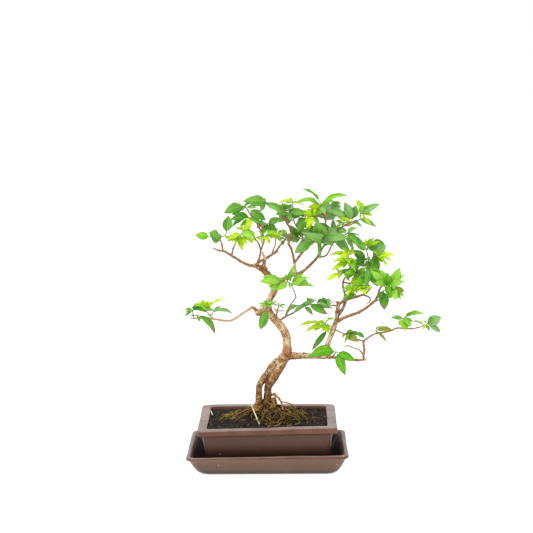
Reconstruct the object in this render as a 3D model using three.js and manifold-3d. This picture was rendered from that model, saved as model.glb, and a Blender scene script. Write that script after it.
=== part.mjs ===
// A syzygium bonsai in a brown stoneware pot that stands on its drip tray.
// Millimetres, +Z up. The origin is the middle of the tray's underside, +X is to the right of the front view
// and +Y is away from the viewer. Wood and leafy shoots are set out in a front view: x and z are read in
// the plane through the trunk, and a depth says how far the point lies behind (+) or before (-) that plane.

import * as THREE from "three";
import { mergeVertices } from "three/addons/utils/BufferGeometryUtils.js";
import Module from "manifold-3d";

const wasm = await Module();
wasm.setup();

const { Vector3 } = THREE;
const UP = new Vector3(0, 0, 1);
const TO_VIEWER = new Vector3(0, -1, 0);

// The eye of the front view, from which the depths are measured along the line of sight.
const EYE = new Vector3(29.1, -1992.7, 536.8);

// Driving sizes of the drip tray.
const TRAY_HALF_X = 116;
const TRAY_HALF_Y = 82;
const TRAY_HEIGHT = 31.5;
const TRAY_FLOOR = 4.5;

// Driving sizes of the pot, which stands on its feet in the tray.
const POT_HALF_X = 100;
const POT_HALF_Y = 72;
const POT_TOP = 70;
const RIM_WIDTH = 14;
const RIM_HEIGHT = 9;
const POT_FLOOR = 6;
const FOOT_HEIGHT = 3;
const FOOT_SIZE = [26, 14];
const FOOT_INSET = [32, 28];
const DRAIN_RADIUS = 6;
const DRAIN_X = 40;
const MESH_SIZE = 22;
const MESH_THICKNESS = 1;

// The soil lies a little under the rim and rises round the trunk.
const SOIL_EDGE = 65;
const MOUND_HEIGHT = 19;
const MOUND_X = 52;
const MOUND_Y = 36;

// Pieces that touch keep this gap.
const GAP = 0.3;
const CORNER_STEPS = 3;

// Joining merges edges shorter than this.
const SHORTEST_EDGE = 0.26;

// Leaves: width to length, depth of the keel under the midrib, and how far the halves fold up from it.
const LEAF_WIDTH = 0.4;
const LEAF_KEEL = 0.6;
const LEAF_FOLD = 0.2;
const STALK_RADIUS = 0.55;
const STEM_RADIUS = 0.8;
const STEM_SIDES = 3;
const LARGE_LEAF = 23;
const SAMPLE_STEP = 2.6;
const NEAREST_BLADES = 2.3;

const COLORS = {
  clay: 0x6e5044,
  soil: 0x28211c,
  bark: 0xbe966e,
  straw: 0xe9dfbf,
  plastic: 0x23241f,
  mature: 0x468c41,
  fresh: 0x8cd750,
  lime: 0xa8dc16,
};

// A small seeded random source, so that every run grows the same tree.
function randomSource(seed) {
  let state = seed;
  return () => {
    state = (Math.imul(state, 1664525) + 1013904223) >>> 0;
    return state / 4294967296;
  };
}

const random = randomSource(1907);

// The point at this depth that is seen at x, z of the front view.
function seen(x, z, depth) {
  const reach = (depth - EYE.y) / -EYE.y;
  return new Vector3(x, 0, z).sub(EYE).multiplyScalar(reach).add(EYE);
}

function signedVolume(positions, index) {
  let volume = 0;
  const a = new Vector3();
  const b = new Vector3();
  const c = new Vector3();
  for (let i = 0; i < index.length; i += 3) {
    a.fromArray(positions, index[i] * 3);
    b.fromArray(positions, index[i + 1] * 3);
    c.fromArray(positions, index[i + 2] * 3);
    volume += a.dot(b.cross(c));
  }
  return volume;
}

// A closed geometry whose faces point out.
function closedGeometry(positions, index) {
  const outward = signedVolume(positions, index) > 0;
  const geometry = new THREE.BufferGeometry();
  geometry.setAttribute("position", new THREE.Float32BufferAttribute(positions, 3));
  geometry.setIndex(outward ? index : [...index].reverse());
  return geometry;
}

// Rings of points, one after another, with both ends closed by a fan round the end's middle.
function ringSolid(rings, startPoint, endPoint) {
  const sides = rings[0].length;
  const positions = [];
  const index = [];
  for (const ring of rings) for (const point of ring) positions.push(...point.toArray());
  const start = positions.length / 3;
  positions.push(...startPoint.toArray(), ...endPoint.toArray());
  for (let k = 0; k < sides; k += 1) {
    const next = (k + 1) % sides;
    for (let ring = 0; ring < rings.length - 1; ring += 1) {
      const low = ring * sides;
      const high = low + sides;
      index.push(low + k, low + next, high + next, low + k, high + next, high + k);
    }
    const last = (rings.length - 1) * sides;
    index.push(start, next, k, start + 1, last + k, last + next);
  }
  return closedGeometry(positions, index);
}

// A solid of the geometry for joining and cutting.
function solidOf(geometry) {
  const bare = geometry.index ? geometry.clone() : geometry;
  bare.deleteAttribute("normal");
  bare.deleteAttribute("uv");
  const merged = mergeVertices(bare, 1e-4);
  return new wasm.Manifold(new wasm.Mesh({
    numProp: 3,
    vertProperties: new Float32Array(merged.attributes.position.array),
    triVerts: new Uint32Array(merged.index.array),
    tolerance: SHORTEST_EDGE,
  }));
}

// Solids joined into one body; a loose scrap or a closed-in hollow is left out.
function joined(solids) {
  const all = solids.reduce((sum, solid) => sum.add(solid));
  const bodies = all.decompose();
  return bodies.reduce((best, body) => (body.volume() > best.volume() ? body : best));
}

function meshOf(name, solid, color, roughness) {
  const { vertProperties, triVerts, numProp } = solid.getMesh();
  const positions = [];
  for (let i = 0; i < vertProperties.length; i += numProp) {
    positions.push(vertProperties[i], vertProperties[i + 1], vertProperties[i + 2]);
  }
  const geometry = new THREE.BufferGeometry();
  geometry.setAttribute("position", new THREE.Float32BufferAttribute(positions, 3));
  geometry.setIndex([...triVerts]);
  geometry.computeVertexNormals();
  const material = new THREE.MeshStandardMaterial({ color, roughness, metalness: 0 });
  const mesh = new THREE.Mesh(geometry, material);
  mesh.name = name;
  return mesh;
}

const part = new THREE.Group();

function addPiece(name, solid, color, roughness) {
  part.add(meshOf(name, solid, color, roughness));
}

// A level ring round a rectangle with round corners.
function cornerRing([halfX, halfY, corner, z]) {
  const ring = [];
  for (const [signX, signY, turn] of [[1, 1, 0], [-1, 1, 1], [-1, -1, 2], [1, -1, 3]]) {
    for (let step = 0; step <= CORNER_STEPS; step += 1) {
      const angle = ((turn + step / CORNER_STEPS) * Math.PI) / 2;
      const x = signX * (halfX - corner) + corner * Math.cos(angle);
      const y = signY * (halfY - corner) + corner * Math.sin(angle);
      ring.push(new Vector3(x, y, z));
    }
  }
  return ring;
}

// A vessel or block lofted through level rings, from the middle of its underside to the middle of its inside.
function lofted(profile) {
  const rings = profile.map(cornerRing);
  return solidOf(ringSolid(rings, new Vector3(0, 0, profile[0][3]), new Vector3(0, 0, profile.at(-1)[3])));
}

// Drip tray: flat underside, walls that lean out, rolled rim and flat floor.
// Each row is half length, half width, corner radius and height.
function dripTray() {
  const x = TRAY_HALF_X;
  const y = TRAY_HALF_Y;
  const top = TRAY_HEIGHT;
  return lofted([
    [x - 25, y - 25, 8, 0],
    [x - 20, y - 20, 10, 0.9],
    [x - 14, y - 14, 11, 5.5],
    [x - 8.5, y - 8.5, 12, 14.5],
    [x - 4, y - 4, 12, top - 6.5],
    [x, y, 12, top - 4.6],
    [x, y, 12, top - 1.2],
    [x - 1.5, y - 1.5, 11, top],
    [x - 5.5, y - 5.5, 10, top - 0.6],
    [x - 7.5, y - 7.5, 9, top - 3.5],
    [x - 16, y - 16, 8, 14.5],
    [x - 22, y - 22, 7, 8],
    [x - 26.5, y - 26.5, 6, TRAY_FLOOR],
  ]);
}

// Pot: thick leaning walls under a broad rim band, open at the top and pierced by two drain holes.
const POT_UNDERSIDE = TRAY_FLOOR + GAP + FOOT_HEIGHT;
const POT_INSIDE = POT_UNDERSIDE + POT_FLOOR;
const WALL_IN = [POT_HALF_X - 20.5, POT_HALF_Y - 20.5];

function pot() {
  const x = POT_HALF_X;
  const y = POT_HALF_Y;
  const band = POT_TOP - RIM_HEIGHT;
  const shell = lofted([
    [x - 15, y - 15.5, 6, POT_UNDERSIDE],
    [x - 13.5, y - 14, 7, POT_UNDERSIDE + 2],
    [x - 7, y - 7, 7, band - 0.5],
    [x - 1, y - 1, 8, band],
    [x, y, 8.5, band + 1.5],
    [x, y, 8.5, POT_TOP - 2.5],
    [x - 1, y - 1, 8, POT_TOP - 0.7],
    [x - 3, y - 3, 7, POT_TOP],
    [x - RIM_WIDTH + 0.8, y - RIM_WIDTH + 0.8, 5, POT_TOP],
    [x - RIM_WIDTH, y - RIM_WIDTH, 4.5, POT_TOP - 1.5],
    [WALL_IN[0], WALL_IN[1], 5, POT_INSIDE + 1.5],
    [WALL_IN[0] - 2, WALL_IN[1] - 2, 4, POT_INSIDE],
  ]);
  const feet = [];
  for (const side of [-1, 1]) {
    for (const end of [-1, 1]) {
      const foot = new THREE.BoxGeometry(FOOT_SIZE[0], FOOT_SIZE[1], FOOT_HEIGHT + 1);
      foot.translate(side * (x - FOOT_INSET[0]), end * (y - FOOT_INSET[1]), POT_UNDERSIDE - FOOT_HEIGHT / 2 + 0.5);
      feet.push(solidOf(foot));
    }
  }
  let clay = joined([shell, ...feet]);
  for (const side of [-1, 1]) {
    const drain = new THREE.CylinderGeometry(DRAIN_RADIUS, DRAIN_RADIUS, POT_FLOOR * 2, 12);
    drain.rotateX(Math.PI / 2);
    drain.translate(side * DRAIN_X, 0, POT_UNDERSIDE + POT_FLOOR / 2);
    clay = clay.subtract(solidOf(drain));
  }
  return clay;
}

// A square of plastic grid that keeps the soil from falling through a drain hole.
function drainMesh(centreX) {
  const plate = new THREE.BoxGeometry(MESH_SIZE, MESH_SIZE, MESH_THICKNESS);
  const middle = POT_INSIDE + GAP + MESH_THICKNESS / 2;
  plate.translate(centreX, 0, middle);
  let grid = solidOf(plate);
  const pitch = MESH_SIZE / 3;
  for (const row of [-0.5, 0.5]) {
    for (const column of [-0.5, 0.5]) {
      const hole = new THREE.BoxGeometry(pitch * 0.7, pitch * 0.7, MESH_THICKNESS * 3);
      hole.translate(centreX + column * pitch, row * pitch, middle);
      grid = grid.subtract(solidOf(hole));
    }
  }
  return grid;
}

function soilHeight(x, y) {
  return SOIL_EDGE + MOUND_HEIGHT * Math.exp(-((x / MOUND_X) ** 2) - (y / MOUND_Y) ** 2);
}

// Soil: fills the pot, with a mound round the trunk.
function soilBody() {
  const low = POT_INSIDE + MESH_THICKNESS + 2 * GAP;
  const lean = (POT_TOP - 1.5 - SOIL_EDGE) / (POT_TOP - POT_INSIDE - 3);
  const edgeX = POT_HALF_X - RIM_WIDTH - GAP - 0.4;
  const edgeY = POT_HALF_Y - RIM_WIDTH - GAP - 0.4;
  const slope = (POT_HALF_X - RIM_WIDTH - WALL_IN[0]) * lean;
  const foot = [WALL_IN[0] - GAP - 0.4, WALL_IN[1] - GAP - 0.4, 4, low + 1];
  const rings = [cornerRing([foot[0] - 2, foot[1] - 2, 3, low]), cornerRing(foot)];
  for (const share of [1, 0.82, 0.62, 0.42, 0.22]) {
    const ring = cornerRing([(edgeX - slope) * share, (edgeY - slope) * share, 4.5 * share, 0]);
    for (const point of ring) point.z = soilHeight(point.x, point.y);
    rings.push(ring);
  }
  return solidOf(ringSolid(rings, new Vector3(0, 0, low), new Vector3(0, 0, soilHeight(0, 0))));
}

// A tapering tube with round ends of few sides; each row of the route is a point and a radius.
function tube(points, radii, sides) {
  const rings = [];
  let across = new Vector3(0, 1, 0);
  points.forEach((point, k) => {
    const before = points[Math.max(k - 1, 0)];
    const after = points[Math.min(k + 1, points.length - 1)];
    const along = after.clone().sub(before).normalize();
    across = across.clone().addScaledVector(along, -across.dot(along)).normalize();
    const side = new Vector3().crossVectors(along, across);
    const ring = [];
    for (let step = 0; step < sides; step += 1) {
      const angle = (2 * Math.PI * step) / sides;
      ring.push(point.clone()
        .addScaledVector(across, radii[k] * Math.cos(angle))
        .addScaledVector(side, radii[k] * Math.sin(angle)));
    }
    rings.push(ring);
  });
  return ringSolid(rings, points[0], points.at(-1));
}

// Room already taken: a ball for each sample point, with the piece that it belongs to.
const taken = [];

function takeRoute(owner, points, radii) {
  for (let k = 0; k < points.length - 1; k += 1) {
    const steps = Math.ceil(points[k].distanceTo(points[k + 1]) / SAMPLE_STEP);
    for (let step = 0; step < steps; step += 1) {
      const share = step / steps;
      taken.push({
        owner,
        at: points[k].clone().lerp(points[k + 1], share),
        radius: radii[k] + (radii[k + 1] - radii[k]) * share,
        near: false,
      });
    }
  }
}

// The wood: every branch is a tapering tube, and all of them are one body.
const woodSolids = [];
const woodHollows = [];
const routes = {};

function branch(name, sides, rows) {
  const points = rows.map(([x, z, depth]) => seen(x, z, depth));
  const radii = rows.map((row) => row[3]);
  woodSolids.push(solidOf(tube(points, radii, sides)));
  if (Math.min(...points.map((point) => point.z)) < SOIL_EDGE + MOUND_HEIGHT) {
    woodHollows.push(solidOf(tube(points, radii.map((radius) => radius + GAP + 0.1), sides)));
  }
  takeRoute("wood", points, radii);
  routes[name] = { points, radii };
}

// The branches. Each row is x, z, depth and radius.
branch("main_stem", 8, [[-1, 74, 6, 10.4], [-0.5, 84.5, 5, 8.1], [-0.5, 95, 5, 6.6],
  [0, 105.5, 4, 6], [1, 114, 4, 6], [4.5, 121.5, 3, 6.5], [10, 131, 2, 7.2], [15, 141.5, 1, 8.1],
  [20.5, 152, 0, 8.6], [26.5, 160.5, -1, 8.2], [29, 169.5, -1, 7.1], [28.5, 179, 0, 6.3],
  [27.5, 188.5, 1, 6.2], [24, 198, 2, 6.3], [17.5, 207, 3, 6.2], [10, 215.5, 3, 6],
  [3, 223.5, 3, 6.3], [0, 231, 2, 6.2], [1.5, 237, 2, 5.5], [4.5, 244, 1, 4.9], [8.5, 251, 1, 4.8],
  [12, 258.5, 0, 4.8], [15, 266, 0, 4.8]]);
branch("left_stem", 6, [[-15, 74, -5, 9.2], [-13.5, 84.5, -4, 6.8], [-12.5, 95, -3, 5.5],
  [-12.5, 106, -2, 5], [-11.5, 116.5, -1, 5], [-6.5, 125.5, 0, 5.3], [0, 134, 1, 5.8],
  [7, 144.5, 1, 6], [15.5, 153.5, 1, 5.6]]);
branch("base_burl", 5, [[4.5, 80, -3, 7.2], [7, 89, -5, 6], [8.5, 95, -6, 4.9], [9, 99, -6, 2.9]]);
branch("junction_scar", 5, [[25.5, 159, 0, 6.9], [25, 158.5, -7, 5.9], [24.5, 158, -10.5, 4.2]]);
branch("cut_stub", 6, [[1.5, 226.5, 2, 6], [-7, 225.5, 0, 5.8], [-13.5, 224.5, -2, 5.3],
  [-17, 224.5, -3, 4.3]]);
branch("left_arm", 6, [[15.5, 264.5, 0, 4.6], [10.5, 270, -1, 4.6], [5.5, 275.5, -2, 4.5],
  [-0.5, 282, -4, 4.6], [-6.5, 287.5, -5, 4.3], [-11, 290.5, -7, 3.9], [-15.5, 292.5, -8, 3.5],
  [-19, 294, -9, 2.7]]);
branch("left_reach", 4, [[-13, 291.5, -8, 2.6], [-24, 293, -11, 2.2], [-31, 296, -14, 1.9],
  [-38.5, 300, -17, 1.9], [-47, 305.5, -20, 1.8], [-55, 310.5, -23, 1.7], [-63.5, 316, -27, 1.7]]);
branch("left_bare_end", 4, [[-60.5, 314, -26, 1.4], [-67.5, 314.5, -29, 1.2], [-73, 317, -31, 1],
  [-78, 319, -33, 0.7]]);
branch("far_left_twig", 4, [[-63, 315, -27, 1.3], [-64, 323, -28, 1.2], [-66, 329.5, -29, 0.9]]);
branch("left_lime_twig", 4, [[-50.5, 306.5, -21, 1.4], [-49, 313, -21, 1.2], [-48, 318, -22, 1.2],
  [-45, 324.5, -24, 1], [-43, 329.5, -26, 0.9]]);
branch("dead_stub", 4, [[0, 283.5, -4, 3], [-3.5, 292, -6, 2.7], [-2.5, 301, -7, 2.3],
  [-4.5, 308, -8, 1.7], [-6, 313, -8, 1]]);
branch("inner_left_twig", 4, [[-15.5, 292, -8, 2.2], [-11.5, 300.5, -11, 1.6], [-9, 309.5, -13, 1.4],
  [-8.5, 315.5, -14, 1.3], [-10.5, 323.5, -17, 1.2], [-14, 329, -19, 0.9]]);
branch("left_crown_twig", 4, [[-8.5, 313.5, -14, 1.3], [-6, 320.5, -12, 1.2], [-3.5, 328.5, -9, 1.2],
  [-5, 338.5, -5, 1.2], [-10.5, 348.5, -2, 1.2], [-16, 358.5, 2, 1.1], [-22, 366, 4, 1],
  [-26.5, 373, 5, 0.9]]);
branch("left_crown_side", 4, [[-16.5, 359.5, 2, 1], [-9.5, 356.5, 4, 0.9], [-1.5, 354, 6, 0.8]]);
branch("inner_right_twig", 4, [[-14.5, 293.5, -9, 2.3], [-9.5, 299, -9, 2], [-3.5, 301.5, -7, 1.9],
  [2, 305, -4, 1.9], [8.5, 309, 0, 1.9], [14, 312.5, 3, 1.9], [16.5, 314.5, 4, 1.7]]);
branch("inner_right_a", 4, [[7, 307.5, -1, 1.3], [10, 316, 2, 1], [13, 324, 6, 0.9],
  [13, 332, 10, 0.8]]);
branch("inner_right_b", 4, [[13, 312, 3, 1.6], [18, 319.5, 8, 1.4], [22.5, 325, 12, 1.2],
  [26, 328.5, 15, 0.9]]);
branch("right_arm", 6, [[14, 263, 0, 4.2], [19, 269.5, 3, 3.5], [25, 273, 6, 3.2],
  [33.5, 277.5, 10, 2.8], [42.5, 279.5, 13, 2.7]]);
branch("crown_fork", 4, [[42.5, 278.5, 13, 2.4], [41.5, 286, 12, 1.9], [40.5, 292.5, 10, 1.9],
  [40, 298.5, 9, 1.9]]);
branch("long_dark_twig", 4, [[40, 296, 9, 1.8], [38.5, 306.5, 7, 1.6], [35.5, 317.5, 3, 1.5],
  [32, 324.5, 1, 1.5], [34.5, 330, 0, 1.5], [36, 335.5, -2, 1.5], [35, 343.5, -4, 1.4],
  [30.5, 353.5, -7, 1.4], [22.5, 365, -11, 1.3], [14.5, 374.5, -14, 1.2], [7, 381, -17, 0.9]]);
branch("dark_thorn_left", 4, [[32, 325, 1, 1], [30.5, 332.5, 3, 0.9], [28.5, 342, 5, 0.7]]);
branch("right_prong", 4, [[40, 296, 9, 1.9], [47, 305.5, 13, 1.7], [54, 314.5, 18, 1.7],
  [59, 321, 22, 1.6], [65, 329, 25, 1.4], [74.5, 338, 21, 1.3], [82.5, 345.5, 16, 1.2],
  [85.5, 356.5, 12, 1.1], [83, 367, 10, 1], [80, 375, 9, 0.9]]);
branch("pink_crown_twig", 4, [[59, 320.5, 22, 1.3], [53, 331.5, 16, 1.2], [48, 342, 10, 1.1],
  [43.5, 349, 6, 1], [40, 357, 3, 0.9], [39, 368.5, 1, 0.9], [38.5, 381, 0, 0.7]]);
branch("crown_inner_twig", 4, [[48, 341.5, 10, 1.1], [50.5, 349.5, 12, 0.9], [54.5, 358.5, 14, 0.8]]);
branch("crown_back_twig", 4, [[85, 356, 12, 1], [87, 366, 18, 0.9], [88, 374.5, 23, 0.8]]);
branch("crown_lime_twig", 4, [[83.5, 365, 10.5, 0.9], [76, 363.5, 0, 0.9], [70, 363.5, -9, 0.7]]);
branch("right_long_twig", 4, [[41, 278.5, 13, 2.4], [52, 284, 18, 2.1], [61, 291.5, 24, 2],
  [70, 300.5, 30, 1.9], [75, 307, 33, 1.8], [79, 315, 36, 1.7], [84.5, 323.5, 40, 1.6],
  [90, 333, 43, 1.3]]);
branch("right_long_side", 4, [[74.5, 306, 33, 1.4], [81, 305, 30, 1.2], [87, 308, 28, 1.1],
  [91.5, 316, 27, 1], [95.5, 325, 29, 0.9]]);
branch("right_crown_twig", 4, [[88, 329, 42, 1.3], [96.5, 340, 36, 1.1], [104, 345.5, 33, 1.1],
  [113.5, 350, 27, 1], [119.5, 353.5, 23, 0.9]]);
branch("right_pink_twig", 4, [[112.5, 349.5, 27, 1], [122.5, 351.5, 18, 0.9], [131, 357, 10, 0.8]]);
branch("right_front_twig", 4, [[95, 324, 29, 1], [103, 329, 20, 0.9], [111, 335, 12, 0.8]]);
branch("low_arm", 6, [[27, 160, -1, 6.6], [35, 160, 1, 5.9], [43, 160, 4, 5.2],
  [53.5, 160.5, 6, 4.6], [65, 159.5, 9, 4.2], [76.5, 159, 11, 4], [85.5, 158.5, 13, 3.7]]);
branch("low_reach", 4, [[81, 159, 12, 2.7], [91, 158, 12, 2.3], [105.5, 156, 9, 2],
  [120, 154, 5, 1.9], [132, 153.5, 2, 1.9], [143.5, 154, 0, 1.3]]);
branch("riser", 4, [[140, 153.5, 1, 1.9], [140, 161, 1, 1.7], [141, 167.5, 0, 1.7],
  [140, 175.5, -1, 1.7], [139.5, 181.5, -2, 1.7]]);
branch("right_end_twig", 4, [[139, 180.5, -2, 1.4], [144, 184.5, -4, 1.3], [151.5, 189.5, -7, 1.2],
  [159.5, 193, -10, 1.2], [169.5, 194, -13, 1.2], [179.5, 196.5, -16, 1.2], [188.5, 200, -18, 1.2],
  [198.5, 199.5, -20, 1.1], [208.5, 199, -21, 1], [218.5, 200.5, -21, 0.9], [227.5, 204, -20, 0.8]]);
branch("thin_left_twig", 4, [[139.5, 181.5, -2, 1.3], [134, 183, 2, 1], [127, 185.5, 6, 0.9],
  [119.5, 189, 10, 0.9], [113, 191.5, 15, 0.9], [107, 194.5, 19, 0.9], [100.5, 197.5, 23, 0.9],
  [92.5, 199, 27, 0.7]]);
branch("lower_left_twig", 4, [[140, 161, 1, 1.2], [136, 165.5, -3, 1], [132, 169, -6, 0.9],
  [123, 172.5, -9, 0.9], [117, 174.5, -11, 0.9], [112, 173.5, -12, 0.7]]);
branch("low_leaf_stub", 4, [[93.5, 157, 11.5, 1.3], [96.5, 160.5, 5, 1.1], [98.5, 163.5, -1, 0.9]]);
branch("heart_twig", 4, [[200, 199.5, -20, 0.9], [198.5, 207.5, -18, 0.9], [198, 213, -17, 0.7]]);
branch("second_trunk", 6, [[84, 159, 13, 4.5], [85.5, 168.5, 14, 4.1], [88.5, 179, 15, 4],
  [92.5, 190, 17, 3.8], [97, 202.5, 18, 3.7], [100.5, 212.5, 20, 3.5], [102, 223, 21, 3.2],
  [103, 232.5, 22, 2.7], [106, 237.5, 22, 2.4]]);
branch("second_cut", 4, [[103, 234, 22, 2.3], [101.5, 240, 23, 2]]);
branch("second_left_twig", 4, [[103, 232, 22, 1.4], [97.5, 234, 18, 1.1], [93, 233.5, 14, 0.9]]);
branch("second_reach", 4, [[104, 236, 22, 2.4], [112, 240.5, 20, 2.3], [120.5, 244, 17, 2],
  [130.5, 246.5, 14, 1.9], [137.5, 248.5, 11, 1.4], [144, 247.5, 9, 1.2], [149, 244.5, 7, 1.1],
  [149.5, 241, 6, 0.9], [145, 236, 5, 0.7]]);
branch("second_thorn", 4, [[139, 248.5, 10.5, 1.4], [143.5, 252, 9, 1.4], [148, 256, 8, 1],
  [152, 261.5, 7, 0.7]]);
branch("second_prong", 4, [[104, 220.5, 21, 2.6], [108.5, 227, 23, 2.3], [112, 234.5, 25, 2.2],
  [114, 241, 26, 2], [113, 248.5, 27, 1.6], [112, 254, 27, 1.4], [110, 261.5, 28, 1.4],
  [110.5, 269, 28, 1.3], [114.5, 276.5, 27, 1.2], [118, 284, 25, 1.2], [121, 291, 23, 1.1],
  [119, 295, 21, 0.9]]);
branch("prong_leaf_twig", 4, [[121, 290, 23, 0.9], [124.5, 288.5, 19, 0.9], [128.5, 284, 16, 0.8]]);
branch("prong_yellow_stub", 4, [[112.5, 253.5, 27, 1.2], [116, 255.5, 18, 1], [119.5, 256.5, 10, 0.9]]);
branch("pink_right_twig", 4, [[111, 267.5, 28, 1.2], [119.5, 266.5, 33, 1.1],
  [129.5, 269.5, 38, 1.1], [129.5, 282, 41, 1], [133, 290.5, 43, 0.9], [140.5, 291.5, 45, 0.8]]);
branch("pink_right_fork", 4, [[129, 269, 38, 1.1], [137.5, 275, 30, 1], [144.5, 279, 22, 0.9],
  [146.5, 284.5, 16, 0.8]]);
branch("right_back_twig", 4, [[129.5, 283, 41, 1.2], [137.5, 284.5, 50, 1.1], [145.5, 291, 54, 1.1],
  [147, 301.5, 52, 1], [145, 310.5, 50, 0.9]]);
branch("right_limb", 4, [[103.5, 210.5, 20, 2.7], [108.5, 214.5, 17, 2.3], [114.5, 217, 14, 2.2],
  [123, 220, 10, 2.2], [133.5, 224, 5, 2.2], [143.5, 230, 0, 2], [153.5, 238, -5, 1.9],
  [159.5, 245.5, -8, 1.7], [162.5, 255.5, -11, 1.4], [166, 261.5, -13, 1.2], [170.5, 264, -15, 1]]);
branch("limb_spur_a", 4, [[153, 237.5, -5, 1.3], [161.5, 241.5, -8, 0.8]]);
branch("low_left_branch", 4, [[-12.5, 224.5, -2, 3.5], [-18.5, 230.5, -4, 2.2],
  [-22.5, 232, -6, 1.9], [-26, 229, -8, 1.7], [-35, 223.5, -12, 1.6], [-45, 216.5, -16, 1.6],
  [-51.5, 213, -19, 1.6], [-59.5, 212.5, -22, 1.5], [-68.5, 213.5, -25, 1.5],
  [-78.5, 215.5, -29, 1.4], [-90, 216.5, -32, 1.3], [-101.5, 216, -35, 1.2], [-111, 216, -38, 0.9]]);
branch("low_left_rise", 4, [[-77, 215, -28.5, 1.2], [-83.5, 221, -31, 1], [-88, 226.5, -33, 0.8]]);
branch("low_left_tip", 4, [[-106, 216, -36.5, 1], [-107, 221, -38, 0.9], [-107.5, 225, -40, 0.7]]);
branch("low_left_front", 4, [[-96.5, 216.5, -33.5, 1], [-99.5, 218.5, -40, 0.9],
  [-101.5, 220, -44, 0.7]]);
branch("middle_twig", 4, [[16, 211, 3, 1.7], [26, 217.5, 7, 1.4], [36.5, 222.5, 12, 1.3],
  [45, 227.5, 17, 1.2], [53, 232, 21, 0.9]]);
branch("middle_riser", 4, [[12.5, 214, 0, 1.6], [14, 220.5, -3, 1.3], [15, 226.5, -5, 1.2],
  [16.5, 231.5, -6, 0.8]]);
branch("middle_cross", 4, [[10, 231, -8, 0.7], [12.5, 228, -6, 0.9], [15.5, 226.5, -5, 0.9],
  [21, 226.5, -8, 0.8], [26, 226.5, -11, 0.6]]);
branch("middle_thin_twig", 4, [[28, 218.5, 8, 1], [30, 226, 4, 0.9], [32.5, 232.5, 0, 0.9],
  [39.5, 242.5, -6, 0.8], [42, 246.5, -8, 0.9], [39.5, 255, -12, 0.8], [36.5, 262, -15, 0.7]]);
branch("root_twig", 4, [[7, 103.5, 0, 1.9], [11, 102, -4, 1.4], [16.5, 97.5, -6, 1.4],
  [19.5, 91.5, -7, 1.3], [21, 86, -8, 1.3], [22, 78.5, -9, 1.3]]);
branch("root_twig_side", 4, [[19, 92.5, -7, 1.2], [26.5, 91, -4, 1], [34.5, 88, -1, 0.9],
  [41, 82.5, 2, 0.9]]);

// A leaf's own axes: along its length, out of its upper face, and across it.
// face turns the upper face from looking up (0) to looking at the viewer (1).
function leafAxes(base, tip, face) {
  const along = tip.clone().sub(base);
  const length = along.length();
  along.normalize();
  const outward = UP.clone().multiplyScalar(1 - face).addScaledVector(TO_VIEWER, face);
  outward.addScaledVector(along, -outward.dot(along)).normalize();
  return { length, along, outward, across: new Vector3().crossVectors(along, outward) };
}

// Half the blade's width at a share of its length: broadest before the middle, drawn out to a point.
function outline(share) {
  return 3.42 * share ** 0.72 * (1 - share) ** 1.12;
}

// A point of the blade: arched along the midrib, with the two halves folded up from it.
function bladePoint(leaf, share, sideways) {
  const { length, along, outward, across } = leaf.axes;
  const blade = Math.max((share - leaf.stalk) / (1 - leaf.stalk), 0);
  const half = Math.max(outline(blade) * leaf.wide * LEAF_WIDTH * length * 0.5, share < 1 ? STALK_RADIUS : 0);
  const lift = 4 * leaf.arch * length * share * (1 - share) + LEAF_FOLD * Math.abs(sideways) * half;
  return leaf.base.clone()
    .addScaledVector(along, share * length)
    .addScaledVector(across, sideways * half)
    .addScaledVector(outward, lift);
}

// A thin closed blade with a pointed tip: its two edges and the keel under its midrib, at a few places.
function blade(leaf) {
  const shares = [0];
  if (leaf.stalk > 0.15) shares.push(leaf.stalk);
  const places = leaf.axes.length > LARGE_LEAF ? [0.2, 0.46, 0.76] : [0.25, 0.62];
  for (const share of places) shares.push(leaf.stalk + (1 - leaf.stalk) * share);
  const rings = shares.map((share) => [
    bladePoint(leaf, share, -1),
    bladePoint(leaf, share, 0).addScaledVector(leaf.axes.outward, -LEAF_KEEL),
    bladePoint(leaf, share, 1),
  ]);
  const positions = rings.flat().flatMap((point) => point.toArray());
  positions.push(...bladePoint(leaf, 1, 0).toArray());
  const index = [0, 2, 1];
  for (let row = 0; row < rings.length - 1; row += 1) {
    for (let k = 0; k < 3; k += 1) {
      const a = row * 3 + k;
      const b = row * 3 + ((k + 1) % 3);
      if (k === 1) index.push(a, b, a + 3, b, b + 3, a + 3);
      else index.push(a, b, b + 3, a, b + 3, a + 3);
    }
  }
  const last = (rings.length - 1) * 3;
  const tip = rings.length * 3;
  index.push(last, last + 1, tip, last + 1, last + 2, tip, last + 2, last, tip);
  return closedGeometry(positions, index);
}

// Sample points over the blade, close enough to tell whether another blade would cross it.
function bladeSamples(leaf) {
  const rows = Math.ceil(leaf.axes.length / SAMPLE_STEP);
  const samples = [];
  for (let row = 1; row <= rows; row += 1) {
    for (const sideways of [-1, -0.5, 0, 0.5, 1]) {
      samples.push({ at: bladePoint(leaf, row / rows, sideways), near: row / rows < 0.35 });
    }
  }
  return samples;
}

// The least room between these samples and what is there already. A piece may meet its own
// shoot near the leaf's foot.
function roomRound(samples, owner) {
  let least = Infinity;
  for (const other of taken) {
    const own = other.owner === owner;
    for (const sample of samples) {
      if (own && (sample.near || other.near)) continue;
      const room = sample.at.distanceTo(other.at) - other.radius;
      if (room < least) least = room;
    }
  }
  return least;
}

function makeLeaf(base, tip, face, arch, wide, stalk) {
  return { base, arch, wide, stalk, axes: leafAxes(base, tip, face) };
}

const DEPTH_TRIES = [0, 5, -5, 10, -10, 15, -15, 20, -20, 26, -26];
const FACE_TRIES = [0, -0.25, 0.2];

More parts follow.
